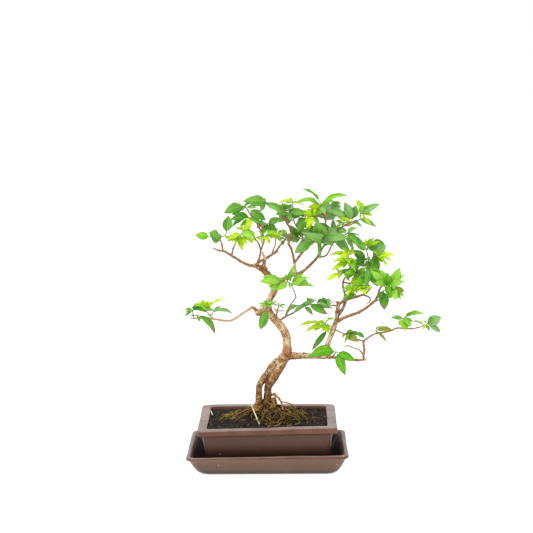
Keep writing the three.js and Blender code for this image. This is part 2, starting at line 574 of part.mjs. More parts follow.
// The first of a leaf's possible places that is clear of its neighbours.
function clearLeaf(owner, base, [, x, z, depth, face, arch, wide = 1, stalk = 0.1]) {
  let best = null;
  for (const turn of FACE_TRIES) {
    for (const shift of DEPTH_TRIES) {
      const leaf = makeLeaf(base, seen(x, z, depth + shift), Math.min(Math.max(face + turn, 0), 1), arch, wide, stalk);
      const samples = bladeSamples(leaf);
      const room = roomRound(samples, owner);
      if (!best || room > best.room) best = { leaf, samples, room };
      if (room >= NEAREST_BLADES) return best;
    }
  }
  return best;
}

function pointOn(points, at) {
  const k = Math.min(Math.floor(at), points.length - 2);
  return points[k].clone().lerp(points[k + 1], at - k);
}

// A leaf that grows by rule from a shoot: it reaches back or forward, where the front view has no leaf.
function ruleLeaf(owner, points, tone) {
  const at = 0.3 + random() * (points.length - 1.3);
  const base = pointOn(points, at);
  const heading = (random() < 0.6 ? 1 : -1) * (0.5 + (random() - 0.5) * 0.55) * Math.PI;
  const rise = (random() - 0.65) * 0.7;
  const length = (tone === "mature" ? 24 : 16) + random() * 8;
  const tip = base.clone().add(new Vector3(
    Math.cos(rise) * Math.cos(heading) * length,
    Math.cos(rise) * Math.sin(heading) * length,
    Math.sin(rise) * length,
  ));
  const leaf = makeLeaf(base, tip, 0.2 + random() * 0.4, 0.1, 1, 0.1);
  const samples = bladeSamples(leaf);
  return { leaf, samples, room: roomRound(samples, owner) };
}

const RULE_TRIES = 14;

// Where a shoot leaves its twig, with the gap between them: at the twig's end, or at a place along it.
function shootStart(twig, place, towards) {
  const { points, radii } = routes[twig];
  const ahead = place === null ? points.at(-1).clone().sub(points.at(-2)).normalize() : null;
  if (ahead) return { start: points.at(-1).clone().addScaledVector(ahead, GAP), ahead };
  const foot = pointOn(points, place);
  const k = Math.min(Math.floor(place), points.length - 2);
  const axis = points[k + 1].clone().sub(points[k]).normalize();
  const away = towards.clone().sub(foot);
  away.addScaledVector(axis, -away.dot(axis)).normalize();
  return { start: foot.addScaledVector(away, radii[k] + GAP + 0.1), ahead: away };
}

// A leafy shoot: a thin stem that goes straight off from a twig, bends through its points, and bears leaves.
function spray(name, twig, place, tone, more, stem, rows) {
  const route = stem.map(([x, z, depth]) => seen(x, z, depth));
  const { start, ahead } = shootStart(twig, place, route[0]);
  const first = start.clone().addScaledVector(ahead, start.distanceTo(route[0]));
  const points = [start, first, ...route.slice(1)];
  const radii = points.map((_, k) => STEM_RADIUS - (0.25 * k) / (points.length - 1));
  takeRoute(name, points, radii);
  const solids = [solidOf(tube(points, radii, STEM_SIDES))];
  const grow = ({ leaf, samples }) => {
    solids.push(solidOf(blade(leaf)));
    for (const { at, near } of samples) taken.push({ owner: name, at, radius: 0, near });
  };
  for (const row of rows) grow(clearLeaf(name, pointOn(points, row[0]), row));
  for (let count = 0; count < more; count += 1) {
    for (let attempt = 0; attempt < RULE_TRIES; attempt += 1) {
      const found = ruleLeaf(name, points, tone);
      if (found.room < NEAREST_BLADES) continue;
      grow(found);
      break;
    }
  }
  routes[name] = { points, radii };
  addPiece(name, joined(solids), COLORS[tone], 0.45);
}

// The leafy shoots. Stem rows are x, z and depth. Leaf rows are the place along the stem, the tip's x, z and
// depth, face, arch, width and stalk.
spray("far_left_shoot", "far_left_twig", null, "mature", 0, [[-64.5, 334, -30], [-60, 336.5, -30], [-57.5, 341, -30]], [
  [0.8, -102, 338, -44, 0.85, 0.06, 0.8, 0.5], [1, -81, 342, -24, 0.75, 0.25, 1],
  [0.8, -71, 324, -22, 0.4, 0.1, 0.7], [3, -54, 365, -32, 0.95, 0.05, 1.1]
]);
spray("left_crown_shoot", "left_crown_twig", null, "mature", 1, [[-29, 377, 6], [-32, 379, 5]], [
  [2, -60, 370, -6, 0.75, 0.2, 0.95], [0.5, -1, 359, -8, 0.8, 0.14, 0.9, 0.25],
  [0.8, -13, 378, 14, 0.6, 0.1, 1], [2, -50, 367, 14, 0.3, 0.1, 0.8]
]);
spray("left_front_shoot", "left_crown_twig", 5.5, "mature", 0, [[-23, 362.5, -7], [-27, 362.5, -12], [-30, 362, -15]], [
  [3, -51, 360, -28, 0.7, 0.22, 1], [2.5, -50, 351, -16, 0.35, 0.1, 0.8],
  [2, -23, 347, -26, 0.7, 0.1, 0.9], [1.2, -47, 368, -10, 0.75, 0.2, 0.95]
]);
spray("left_inner_shoot", "left_crown_side", null, "mature", 1, [[1, 354, 7], [3.5, 354.5, 8]], [
  [1.5, 20, 361, 2, 0.85, 0.1, 1.25], [2, 15, 343, -2, 0.75, 0.08, 1], [1, -7, 342, 2, 0.7, 0.1, 1],
  [2, 7, 338, 16, 0.6, 0.1, 1], [1, -6, 350, 22, 0.5, 0.1, 0.9]
]);
spray("left_lime_shoot", "left_lime_twig", null, "lime", 0, [[-41.5, 333.5, -28], [-37, 338, -30], [-33, 343.5, -32]], [
  [3, -20, 358, -36, 0.85, 0.1, 1.2], [1.6, -35, 315, -38, 0.85, 0.02, 1.1],
  [1, -46, 323, -40, 0.6, 0.1, 0.8], [2.3, -18, 325, -34, 0.7, 0.1, 0.8],
  [0.6, -58, 328, -26, 0.5, 0.1, 0.8], [1.4, -56, 335, -24, 0.4, 0.15, 0.7],
  [3, -28, 332, -46, 0.6, 0.12, 0.8]
]);
spray("inner_lime_shoot", "inner_left_twig", null, "lime", 0, [[-13.5, 333, -20], [-8, 335.5, -20], [-1, 336, -18]], [
  [3, 21, 331, -12, 0.5, 0.1, 0.9], [2, 7, 327, -28, 0.6, 0.12, 0.9],
  [1, -24, 334, -14, 0.4, 0.1, 0.8], [3, 15, 340, -24, 0.45, 0.12, 0.8],
  [1.4, -6, 328, -34, 0.6, 0.1, 0.8]
]);
spray("inner_fresh_shoot", "inner_right_a", null, "fresh", 1, [[13.5, 335.5, 12], [15.5, 338, 14]], [
  [2, 27, 334, 10, 0.5, 0.1, 0.8], [1, 2, 336, 20, 0.4, 0.1, 0.8], [2, 24, 344, 24, 0.6, 0.1, 0.9]
]);
spray("inner_right_shoot", "inner_right_b", null, "mature", 1, [[27, 330.5, 16], [27.5, 332.5, 18]], [
  [0.6, 41, 328, 6, 0.6, 0.15, 0.9], [2, 24, 346, 28, 0.7, 0.1, 0.9], [2, 43, 339, 30, 0.7, 0.1, 0.9],
  [1, 21, 323, 10, 0.8, 0.1, 1.1]
]);
spray("top_left_shoot", "long_dark_twig", null, "mature", 1, [[3.5, 382.5, -18], [-0.5, 383, -19]], [
  [1.2, -32, 387, -26, 0.8, 0.24, 1.05], [2, -9, 370, -30, 0.6, 0.1, 0.9],
  [2, -6, 390, -4, 0.5, 0.12, 0.9]
]);
spray("dark_twig_shoot", "long_dark_twig", 8, "mature", 0, [[26.5, 369, -3], [28.5, 370.5, 0], [30.5, 372, 3]], [
  [3, 17, 381, -4, 0.7, 0.1, 1], [2, 15, 367, -26, 0.8, 0.1, 1.1], [1.5, 38, 357, -14, 0.8, 0.1, 1],
  [3, 39, 378, -6, 0.6, 0.1, 0.9], [2.6, 22, 356, 14, 0.7, 0.1, 1], [1.4, 26, 383, -22, 0.6, 0.1, 0.9],
  [3, 49, 363, 10, 0.9, 0.08, 1.2], [2, 18, 355, -20, 0.92, 0.08, 1.3]
]);
spray("top_lime_shoot", "pink_crown_twig", null, "lime", 0, [[38.5, 383.5, 0], [37.5, 385.5, 0]], [
  [1, 17, 383, -8, 0.5, 0.2, 0.7], [1, 54, 380, 6, 0.5, 0.12, 0.7], [2, 31, 389, 10, 0.6, 0.1, 0.8],
  [2, 43, 389, -10, 0.6, 0.1, 0.8]
]);
spray("crown_inner_shoot", "crown_inner_twig", null, "mature", 1, [[55.5, 362, 15], [56, 364, 16]], [
  [2, 41, 370, 6, 0.7, 0.1, 1], [1.5, 63, 375, 24, 0.6, 0.1, 1], [0.4, 43, 352, 6, 0.7, 0.12, 1],
  [1, 65, 350, 24, 0.6, 0.1, 1]
]);
spray("crown_grey_shoot", "pink_crown_twig", 1, "mature", 1, [[49, 332.5, 18], [47, 333.5, 19], [45, 334.5, 20]], [
  [3, 41, 344, 10, 0.8, 0.1, 1], [2.4, 43, 325, 12, 0.7, 0.1, 1], [1.6, 55, 342, 26, 0.8, 0.1, 1]
]);
spray("crown_wide_shoot", "right_prong", 4, "mature", 0, [[65, 328, 14], [65, 329, 9], [64.5, 330.5, 5]], [
  [2.4, 41, 311, -6, 0.92, 0.08, 1.15], [2.8, 53, 346, -4, 0.9, 0.1, 1.15],
  [3, 84, 340, -2, 0.6, 0.16, 1], [2, 84, 325, 4, 0.65, 0.1, 1]
]);
spray("crown_low_shoot", "right_prong", 5, "mature", 0, [[74.5, 333.5, 11], [76, 333, 6], [78, 333, 2]], [
  [2, 77, 301, 0, 0.35, 0.04, 0.8], [3, 118, 333, -12, 0.8, 0.1, 0.85],
  [2.6, 97, 321, -10, 0.7, 0.1, 1], [2.4, 94, 343, -16, 0.7, 0.12, 1], [2, 52, 340, -22, 0.75, 0.3, 1.2]
]);
spray("crown_lime_shoot", "crown_lime_twig", null, "lime", 0, [[68, 363, -12], [65, 363.5, -14]], [
  [2, 53, 369, -18, 0.6, 0.1, 0.9], [2, 55, 356, -22, 0.6, 0.1, 0.9], [1, 69, 374, -20, 0.6, 0.1, 0.9],
  [1, 61, 344, -18, 0.5, 0.05, 0.75]
]);
spray("crown_top_shoot", "right_prong", null, "lime", 0, [[79.5, 378, 8], [79, 381, 7]], [
  [2, 51, 405, -6, 0.4, 0.12, 0.55], [2, 118, 393, 14, 0.5, 0.2, 0.6],
  [1.2, 43, 386, -16, 0.5, 0.15, 0.6], [1.5, 60, 377, -12, 0.9, 0.1, 1],
  [1.6, 101, 385, 24, 0.45, 0.12, 0.7], [1, 93, 369, -6, 0.6, 0.1, 0.8]
]);
spray("crown_back_shoot", "crown_back_twig", null, "mature", 1, [[89, 377, 26], [91, 378.5, 28]], [
  [2, 108, 377, 22, 0.85, 0.1, 1], [0.6, 113, 364, 14, 0.85, 0.1, 1.1],
  [0.4, 75, 361, 22, 0.8, 0.1, 1.1], [2, 84, 388, 40, 0.6, 0.1, 1], [1, 93, 356, 30, 0.9, 0.06, 1.2]
]);
spray("right_long_shoot", "right_long_twig", null, "mature", 1, [[91.5, 336, 46], [93.5, 339, 49], [96.5, 342, 51]], [
  [2, 120, 312, 38, 0.85, 0.1, 0.85], [1.4, 115, 325, 50, 0.7, 0.12, 1],
  [3, 96, 359, 44, 0.75, 0.1, 1], [3, 117, 343, 60, 0.7, 0.1, 1], [2, 80, 347, 56, 0.6, 0.1, 1]
]);
spray("right_side_shoot", "right_long_side", null, "mature", 1, [[97.5, 327.5, 32], [99, 328.5, 34]], [
  [1.6, 80, 318, 46, 0.6, 0.1, 1], [2, 111, 318, 20, 0.6, 0.1, 0.9]
]);
spray("right_crown_shoot", "right_crown_twig", null, "mature", 1, [[122, 356, 22], [123.5, 358.5, 22]], [
  [2, 113, 383, 16, 0.92, 0.08, 1.2], [1, 105, 362, 12, 0.6, 0.1, 0.9], [2, 133, 372, 34, 0.6, 0.1, 0.9]
]);
spray("right_pink_shoot", "right_pink_twig", null, "mature", 0, [[133.5, 361.5, 8], [135.5, 368, 6], [135, 373.5, 5]], [
  [1.8, 163, 381, -2, 0.65, 0.08, 0.8], [3, 130, 387, 10, 0.5, 0.08, 0.7],
  [3, 144, 382, -4, 0.5, 0.08, 0.7], [0.5, 158, 348, 2, 0.6, 0.16, 0.75],
  [1.8, 153, 366, 18, 0.6, 0.12, 0.9], [0.4, 149, 354, 18, 0.35, 0.1, 0.6]
]);
spray("right_lime_shoot", "right_crown_twig", 2.5, "lime", 0, [[110.5, 351.5, 36], [111.5, 354, 40], [112, 356.5, 42]], [
  [3, 101, 363, 40, 0.6, 0.1, 0.9], [3, 125, 362, 44, 0.6, 0.1, 0.9], [2, 102, 352, 52, 0.6, 0.1, 0.9],
  [2, 124, 352, 50, 0.6, 0.1, 0.9]
]);
spray("right_front_shoot", "right_front_twig", null, "mature", 0, [[114, 337, 9], [116, 339, 7]], [
  [1, 145, 315, -6, 0.6, 0.08, 0.7], [0.4, 126, 313, 6, 0.35, 0.06, 0.7],
  [2, 137, 334, 8, 0.2, 0.06, 0.6], [2, 130, 347, -6, 0.6, 0.1, 0.9], [1.6, 106, 343, -8, 0.6, 0.1, 0.9]
]);
spray("right_tip_shoot", "right_back_twig", null, "lime", 0, [[145.5, 314.5, 49], [146, 318, 48]], [
  [2, 142, 331, 44, 0.65, 0.1, 0.9], [2, 157, 327, 44, 0.6, 0.1, 0.9],
  [2, 149, 332, 56, 0.6, 0.1, 0.8], [1.4, 163, 321, 54, 0.45, 0.2, 0.6],
  [1, 171, 324, 54, 0.85, 0.12, 1.3]
]);
spray("right_back_shoot", "right_back_twig", 3, "mature", 1, [[150.5, 303.5, 44], [152.5, 304, 39], [155.5, 304.5, 35]], [
  [1.8, 172, 321, 30, 0.85, 0.08, 1.1], [2.4, 176, 308, 44, 0.7, 0.1, 1],
  [2.1, 162, 284, 26, 0.95, 0.06, 1.25]
]);
spray("right_left_shoot", "right_back_twig", 2.7, "mature", 1, [[145, 299, 46], [143.5, 300, 42], [141.5, 301, 39]], [
  [2.4, 124, 295, 30, 0.85, 0.2, 1.2], [3, 128, 312, 32, 0.85, 0.1, 1.1],
  [2, 146, 284, 36, 0.8, 0.04, 0.9]
]);
spray("right_fan_shoot", "right_back_shoot", null, "lime", 0, [[160, 305.5, 30], [163.5, 304.5, 28.5]], [
  [2, 181, 310, 26, 0.5, 0.16, 0.55], [2, 183, 296, 20, 0.5, 0.14, 0.5],
  [1.6, 173, 294, 20, 0.6, 0.12, 0.6], [2, 171, 287, 38, 0.4, 0.1, 0.5],
  [2, 177, 300, 30, 0.4, 0.12, 0.5]
]);
spray("prong_lime_shoot", "second_prong", null, "lime", 0, [[118, 299, 19], [118, 303, 16], [118.5, 307.5, 14]], [
  [2.6, 92, 309, 6, 0.55, 0.16, 0.8], [1.4, 96, 298, 6, 0.6, 0.16, 0.8],
  [0.5, 93, 285, 12, 0.6, 0.12, 0.8], [3, 129, 311, 6, 0.7, 0.1, 0.9], [3, 114, 316, 22, 0.6, 0.1, 0.8]
]);
spray("prong_low_lime_shoot", "second_prong", 9, "lime", 0, [[114, 281.5, 18], [111.5, 281, 13], [108, 280.5, 9]], [
  [3, 85, 270, 0, 0.5, 0.1, 0.75], [2.6, 101, 270, 2, 0.5, 0.1, 0.7], [1.8, 115, 274, 4, 0.6, 0.08, 0.7]
]);
spray("prong_leaf_shoot", "prong_leaf_twig", null, "mature", 0, [[131, 281, 14], [133.5, 278, 12]], [
  [1.8, 110, 284, 4, 0.6, 0.14, 1], [1.2, 115, 272, 8, 0.4, 0.16, 0.9],
  [2, 130, 269, 0, 0.4, 0.1, 0.8], [0.4, 102, 283, 26, 0.35, 0.04, 0.7],
  [2, 141, 289, 20, 0.6, 0.1, 0.9], [1, 122, 262, 14, 0.75, 0.12, 1]
]);
spray("pink_right_shoot", "pink_right_twig", null, "mature", 1, [[142.5, 292, 47], [143.5, 292.5, 48]], [
  [1, 126, 292, 60, 0.6, 0.1, 1], [2, 153, 298, 62, 0.7, 0.1, 1], [1, 136, 280, 58, 0.6, 0.1, 1]
]);
spray("pink_fork_shoot", "pink_right_fork", null, "mature", 0, [[148.5, 284.5, 11], [150.5, 281.5, 6]], [
  [2, 125, 262, -6, 0.92, 0.08, 1.15], [1.6, 171, 261, -2, 0.8, 0.1, 1.1]
]);
spray("limb_fresh_shoot", "right_limb", null, "fresh", 0, [[173, 263.5, -16], [176.5, 261.5, -16], [179.5, 259, -17]], [
  [3, 192, 288, -22, 0.92, 0.06, 1.15], [3, 194, 243, -24, 0.85, 0.08, 1.1],
  [2.6, 199, 246, -2, 0.6, 0.1, 0.9], [0.6, 151, 284, -22, 0.85, 0.08, 1.1],
  [2, 203, 279, -4, 0.3, 0.08, 0.6], [1, 170, 278, 2, 0.6, 0.1, 1], [1, 180, 244, -30, 0.92, 0.1, 1.1],
  [2, 164, 286, -12, 0.85, 0.1, 1.1]
]);
spray("limb_leaf_shoot", "right_limb", 8, "mature", 0, [[166, 255.5, -17], [168.5, 255.5, -22], [170.5, 255, -25]], [
  [2, 170, 227, -34, 0.97, 0.04, 1.2], [3, 180, 244, -30, 0.7, 0.08, 0.9]
]);
spray("yellow_shoot", "prong_yellow_stub", null, "lime", 0, [[124, 257, 4], [129.5, 257.5, 0], [135.5, 257.5, -3]], [
  [0.6, 110, 258, 0, 0.4, 0.1, 0.9], [3, 150, 258, -8, 0.45, 0.12, 0.8],
  [1.4, 124, 252, -16, 0.6, 0.1, 0.8], [2, 131, 264, -12, 0.5, 0.1, 0.8],
  [2.6, 142, 251, -12, 0.5, 0.1, 0.8]
]);
spray("second_leaf_shoot", "second_reach", 3, "mature", 0, [[129.5, 248.5, 10], [128.5, 250, 7], [127.5, 250.5, 4]], [
  [2.4, 110, 244, -6, 0.6, 0.12, 0.95], [3, 112, 260, 12, 0.4, 0.14, 0.9]
]);
spray("second_left_shoot", "second_left_twig", null, "mature", 0, [[91, 232, 11], [89.5, 231.5, 9]], [
  [1.4, 89, 245, 4, 0.7, 0.06, 0.9], [2, 75, 238, 2, 0.6, 0.12, 0.8], [1, 101, 241, 2, 0.25, 0.1, 0.6]
]);
spray("trunk_fresh_spray", "middle_thin_twig", null, "fresh", 0, [[35.5, 265, -17], [30, 268.5, -20], [23.5, 269, -22]], [
  [3, -11, 270, -26, 0.75, 0.16, 0.9], [2.6, 5, 258, -32, 0.95, 0.06, 1.3],
  [1.4, 40, 296, -18, 0.35, 0.05, 0.6], [0.8, 60, 276, -20, 0.75, 0.14, 0.85],
  [0.4, 69, 263, -14, 0.5, 0.1, 0.7], [3, 16, 276, -30, 0.6, 0.1, 0.9],
  [1.6, 34, 259, -28, 0.7, 0.04, 0.8]
]);
spray("trunk_hanging_leaf", "main_stem", 17, "mature", 0, [[0.5, 230.5, -11.5], [0, 229.5, -14], [0, 228, -15.5]], [
  [2.6, -10, 199, -20, 0.97, 0.05, 1.35]
]);
spray("trunk_fresh_shoot", "main_stem", 18, "fresh", 0, [[0, 236, -8], [-0.5, 236.5, -11], [-0.5, 237.5, -13]], [
  [3, -10, 232, -18, 0.6, 0.12, 0.9], [3, -6, 241, -18, 0.5, 0.1, 0.8],
  [3, 11, 238, -18, 0.45, 0.1, 0.8], [2, 8, 231, -19, 0.5, 0.1, 0.7]
]);
spray("middle_riser_shoot", "middle_riser", null, "fresh", 0, [[16.5, 233.5, -7], [17, 234.5, -8]], [
  [1.6, 11, 235, -12, 0.5, 0.12, 0.7], [1.6, 24, 230, -12, 0.6, 0.1, 0.7],
  [2, 21, 239, -4, 0.4, 0.08, 0.6]
]);
spray("middle_shoot", "middle_twig", null, "mature", 1, [[56.5, 233.5, 21], [61.5, 235, 20], [67.5, 236, 18], [74.5, 235.5, 16]], [
  [0.5, 66, 221, 12, 0.65, 0.12, 0.95], [1, 25, 220, 8, 0.5, 0.2, 0.7, 0.3],
  [2, 88, 221, 6, 0.75, 0.12, 1], [2.6, 52, 238, 8, 0.65, 0.2, 1], [4, 92, 230, 6, 0.6, 0.1, 0.9],
  [3.6, 82, 244, 28, 0.6, 0.1, 0.9]
]);
spray("lime_fan_shoot", "thin_left_twig", null, "lime", 0, [[89, 200.5, 27], [86, 203, 26], [84, 206, 25]], [
  [3, 44, 204, 10, 0.35, 0.12, 0.55], [2, 55, 197, 8, 0.5, 0.14, 0.75],
  [2.4, 88, 196, 10, 0.9, 0.04, 1.3], [3, 97, 219, 16, 0.25, 0.04, 0.5],
  [3, 74, 212, 34, 0.5, 0.1, 0.8], [1, 65, 169, 16, 0.7, 0.05, 0.65, 0.14]
]);
spray("low_arm_leaves", "low_leaf_stub", null, "mature", 0, [[100, 165, -5], [101.5, 165.5, -8]], [
  [1.2, 59, 159, -20, 0.6, 0.26, 1.1], [2, 128, 153, -16, 0.85, 0.2, 1.1],
  [1.6, 113, 131, -28, 0.95, 0.06, 1]
]);
spray("spotted_shoot", "thin_left_twig", 3.7, "mature", 0, [[114.5, 191.5, 9], [114, 192.5, 5], [117, 193.5, 2], [121, 194.5, 0]], [
  [1.6, 133, 181, -6, 0.8, 0.1, 1.1], [4, 142, 187, -2, 0.6, 0.14, 0.7, 0.35],
  [2.6, 109, 187, -8, 0.4, 0.12, 0.8]
]);
spray("olive_shoot", "right_end_twig", 3, "mature", 0, [[158, 195, -13], [157.5, 196.5, -16], [158, 197, -18]], [
  [2.6, 183, 197, -24, 0.6, 0.2, 0.8], [1.8, 173, 181, -24, 0.35, 0.06, 0.6]
]);
spray("heart_shoot", "heart_twig", null, "mature", 0, [[198, 214.5, -17], [199.5, 215.5, -18]], [
  [0.6, 180, 216, -18, 0.7, 0.14, 0.9], [1.2, 200, 198, -26, 0.95, 0.05, 1.2],
  [2, 208, 202, -32, 0.8, 0.08, 1.1], [2, 228, 221, -14, 0.35, 0.16, 0.6]
]);
spray("right_end_shoot", "right_end_twig", null, "mature", 0, [[229.5, 205, -20], [232.5, 206, -20]], [
  [1.6, 252, 216, -24, 0.8, 0.14, 1.15], [2, 252, 194, -16, 0.7, 0.08, 0.85],
  [0.6, 211, 211, -26, 0.4, 0.06, 0.6], [1, 236, 196, -28, 0.6, 0.06, 0.9]
]);
spray("low_left_lime", "low_left_rise", null, "lime", 0, [[-88, 229, -34], [-86.5, 231.5, -35]], [
  [2, -107, 237, -30, 0.5, 0.12, 0.8], [2, -95, 244, -44, 0.6, 0.1, 0.9],
  [2, -79, 242, -26, 0.6, 0.1, 0.8], [2, -57, 246, -42, 0.35, 0.1, 0.5],
  [1, -77, 228, -46, 0.6, 0.08, 0.8], [1, -102, 230, -46, 0.5, 0.1, 0.8]
]);
spray("low_left_shoot", "low_left_tip", null, "mature", 0, [[-107.5, 227, -41], [-107.5, 228.5, -42]], [
  [1.8, -119, 230, -40, 0.5, 0.14, 1], [2, -89, 226, -50, 0.6, 0.12, 0.9],
  [0.8, -119, 221, -48, 0.45, 0.1, 0.9], [2, -102, 238, -34, 0.4, 0.1, 0.9]
]);
spray("low_left_hanging", "low_left_front", null, "mature", 0, [[-102.5, 221, -47], [-102, 221.5, -49]], [
  [2, -75, 193, -52, 0.5, 0.3, 0.85], [0.6, -97, 211, -46, 0.5, 0.06, 0.8]
]);
spray("low_left_side_leaf", "low_left_rise", 1, "mature", 0, [[-80.5, 223, -36], [-79, 224.5, -39], [-77.5, 225.5, -41]], [
  [3, -52, 226, -46, 0.5, 0.14, 0.7], [2.4, -66, 234, -30, 0.5, 0.1, 0.8]
]);

// A pale dry stalk, stuck in the front of the soil and leaning back to the trunk.
const STALK_FOOT = new Vector3(-8, -53, 62.4);
const STALK_TIP = new Vector3(-24, -12, 90.4);
const STALK_GAUGE = 0.8;

function paleStalk(spare) {
  const radius = STALK_GAUGE + spare;
  return solidOf(tube([STALK_FOOT, STALK_TIP], [radius, radius * 0.9], 6));
}

let earth = soilBody().subtract(paleStalk(GAP));
for (const hollow of woodHollows) earth = earth.subtract(hollow);

addPiece("drip_tray", dripTray(), COLORS.clay, 0.4);
addPiece("pot", pot(), COLORS.clay, 0.4);
addPiece("drain_mesh_left", drainMesh(-DRAIN_X), COLORS.plastic, 0.6);
addPiece("drain_mesh_right", drainMesh(DRAIN_X), COLORS.plastic, 0.6);
addPiece("soil", joined([earth]), COLORS.soil, 0.95);
addPiece("wood", joined(woodSolids), COLORS.bark, 0.75);
addPiece("pale_stalk", paleStalk(0), COLORS.straw, 0.7);

export default part;
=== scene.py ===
# %% [markdown]
# # A syzygium bonsai in a brown pot
# The tree stands about 40 cm high in a glazed pot 20 cm long, which stands in its drip tray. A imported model
# already holds every solid of it in coarse facets. This lesson keeps those places and gives each piece its
# finished surface: bark with scars, leaves with veins and waved edges, crumbly soil with moss, and a satin
# glaze.

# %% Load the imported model
import math

import bmesh
import bpy
import numpy as np
from mathutils import Matrix, Vector


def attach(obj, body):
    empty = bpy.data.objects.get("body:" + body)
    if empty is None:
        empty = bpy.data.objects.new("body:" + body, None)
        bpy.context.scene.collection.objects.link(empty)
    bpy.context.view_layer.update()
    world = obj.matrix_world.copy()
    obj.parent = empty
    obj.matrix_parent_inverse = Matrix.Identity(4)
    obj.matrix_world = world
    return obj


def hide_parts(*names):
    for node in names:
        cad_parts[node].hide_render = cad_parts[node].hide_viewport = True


MM = 0.001
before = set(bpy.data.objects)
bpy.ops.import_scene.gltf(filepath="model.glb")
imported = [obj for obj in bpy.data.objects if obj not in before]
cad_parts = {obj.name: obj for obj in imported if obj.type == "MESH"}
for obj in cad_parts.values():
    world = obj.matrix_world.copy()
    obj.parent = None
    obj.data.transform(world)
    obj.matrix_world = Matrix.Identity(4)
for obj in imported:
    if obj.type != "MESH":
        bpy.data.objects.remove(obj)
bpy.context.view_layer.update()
print("nodes in the packed model:", len(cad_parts))

# %% [markdown]
# ## The camera
# The picture was taken from about two metres away with a long lens, looking a little down. The eye's place
# and the angles were worked out from the corners of the pot and the tray, so the camera is set by numbers and
# not by eye. Its own axes are the columns of its matrix: right, up, and back towards the viewer.

# %% Camera
EYE = np.array([29.1, -1992.7, 536.8])
PAN, TILT, ROLL = (math.radians(angle) for angle in (-0.84, 7.02, 0.5))
FOCAL_PIXELS = 1390.6
IMAGE_PIXELS = 533
SENSOR_MM = 36

level_right = np.array([math.cos(PAN), -math.sin(PAN), 0])
ahead = np.array([math.sin(PAN) * math.cos(TILT), math.cos(PAN) * math.cos(TILT), -math.sin(TILT)])
level_up = np.cross(level_right, ahead)
right = math.cos(ROLL) * level_right - math.sin(ROLL) * level_up
up = math.sin(ROLL) * level_right + math.cos(ROLL) * level_up

camera = bpy.data.objects.new("camera", bpy.data.cameras.new("camera"))
bpy.context.scene.collection.objects.link(camera)
camera.data.sensor_width = SENSOR_MM
camera.data.lens = FOCAL_PIXELS / IMAGE_PIXELS * SENSOR_MM
turned = np.eye(4)
turned[:3, :3] = np.stack([right, up, -ahead], axis=1)
turned[:3, 3] = EYE * MM
camera.matrix_world = Matrix(turned.tolist())
bpy.context.scene.camera = camera
print("lens in millimetres:", round(camera.data.lens, 1))

# %% [markdown]
# ## Light and floor
# The photo is high-key: a white floor that runs into a white ground, with light from all round and one large
# soft window from the upper left. A plain floor and an even white world give that from every side of the
# object.

# %% World, floor and lamps
scene = bpy.context.scene
scene.view_settings.view_transform = "Standard"
world = bpy.data.worlds.new("white_room")
world.use_nodes = True
WORLD_LIGHT = 1.0
world.node_tree.nodes["Background"].inputs["Color"].default_value = (1, 1, 1, 1)
world.node_tree.nodes["Background"].inputs["Strength"].default_value = WORLD_LIGHT
scene.world = world


def soft_lamp(name, place, aim, size, power):
    """A square area lamp at a place, turned to look at its aim; metres and watts."""
    data = bpy.data.lights.new(name, "AREA")
    data.size = size
    data.energy = power
    lamp = bpy.data.objects.new(name, data)
    lamp.location = place
    lamp.rotation_euler = (Vector(aim) - Vector(place)).to_track_quat("-Z", "Y").to_euler()
    scene.collection.objects.link(lamp)


soft_lamp("window_left", (-1.3, -1.5, 1.9), (0, 0, 0.2), 1.1, 28)
soft_lamp("fill_right", (1.7, -1.2, 1.0), (0, 0, 0.2), 1.6, 4)
soft_lamp("overhead", (0.1, 0.5, 2.2), (0, 0, 0.1), 1.4, 12)

FLOOR_HALF = 20
floor_mesh = bpy.data.meshes.new("floor")
corners = [(-FLOOR_HALF, -FLOOR_HALF, 0), (FLOOR_HALF, -FLOOR_HALF, 0), (FLOOR_HALF, FLOOR_HALF, 0),
           (-FLOOR_HALF, FLOOR_HALF, 0)]
floor_mesh.from_pydata(corners, [], [(0, 1, 2, 3)])
floor = bpy.data.objects.new("floor", floor_mesh)
scene.collection.objects.link(floor)

# %% [markdown]
# ## Shader sums
# A finish is easier to read as a formula than as a web of nodes. The small class below wraps one socket, and
# adding or multiplying two of them adds the Math nodes. `Finish` holds one material and makes every other
# kind of node.

# %% Sockets that can be added and multiplied
class Term:
    """One node socket in a formula."""

    def __init__(self, finish, socket):
        self.finish = finish
        self.socket = socket

    def maths(self, operation, *values):
        return self.finish.node("ShaderNodeMath", {"operation": operation}, values)

    def __add__(self, other):
        return self.maths("ADD", self, other)

    def __sub__(self, other):
        return self.maths("SUBTRACT", self, other)

    def __rsub__(self, other):
        return self.maths("SUBTRACT", other, self)

    def __mul__(self, other):
        return self.maths("MULTIPLY", self, other)

    __radd__ = __add__
    __rmul__ = __mul__

    def size(self):
        return self.maths("ABSOLUTE", self)

    def wave(self):
        return self.maths("SINE", self)

    def between(self, low, high):
        """0 below low, 1 above high, and a smooth step between."""
        values = {"Value": self, "From Min": low, "From Max": high}
        return self.finish.node("ShaderNodeMapRange", {"interpolation_type": "SMOOTHSTEP"}, values)


def linear(red, green, blue):
    """The linear colour of screen values from 0 to 255."""
    shares = np.array([red, green, blue]) / 255
    low = shares / 12.92
    high = ((shares + 0.055) / 1.055) ** 2.4
    return (*np.where(shares <= 0.04045, low, high).tolist(), 1)


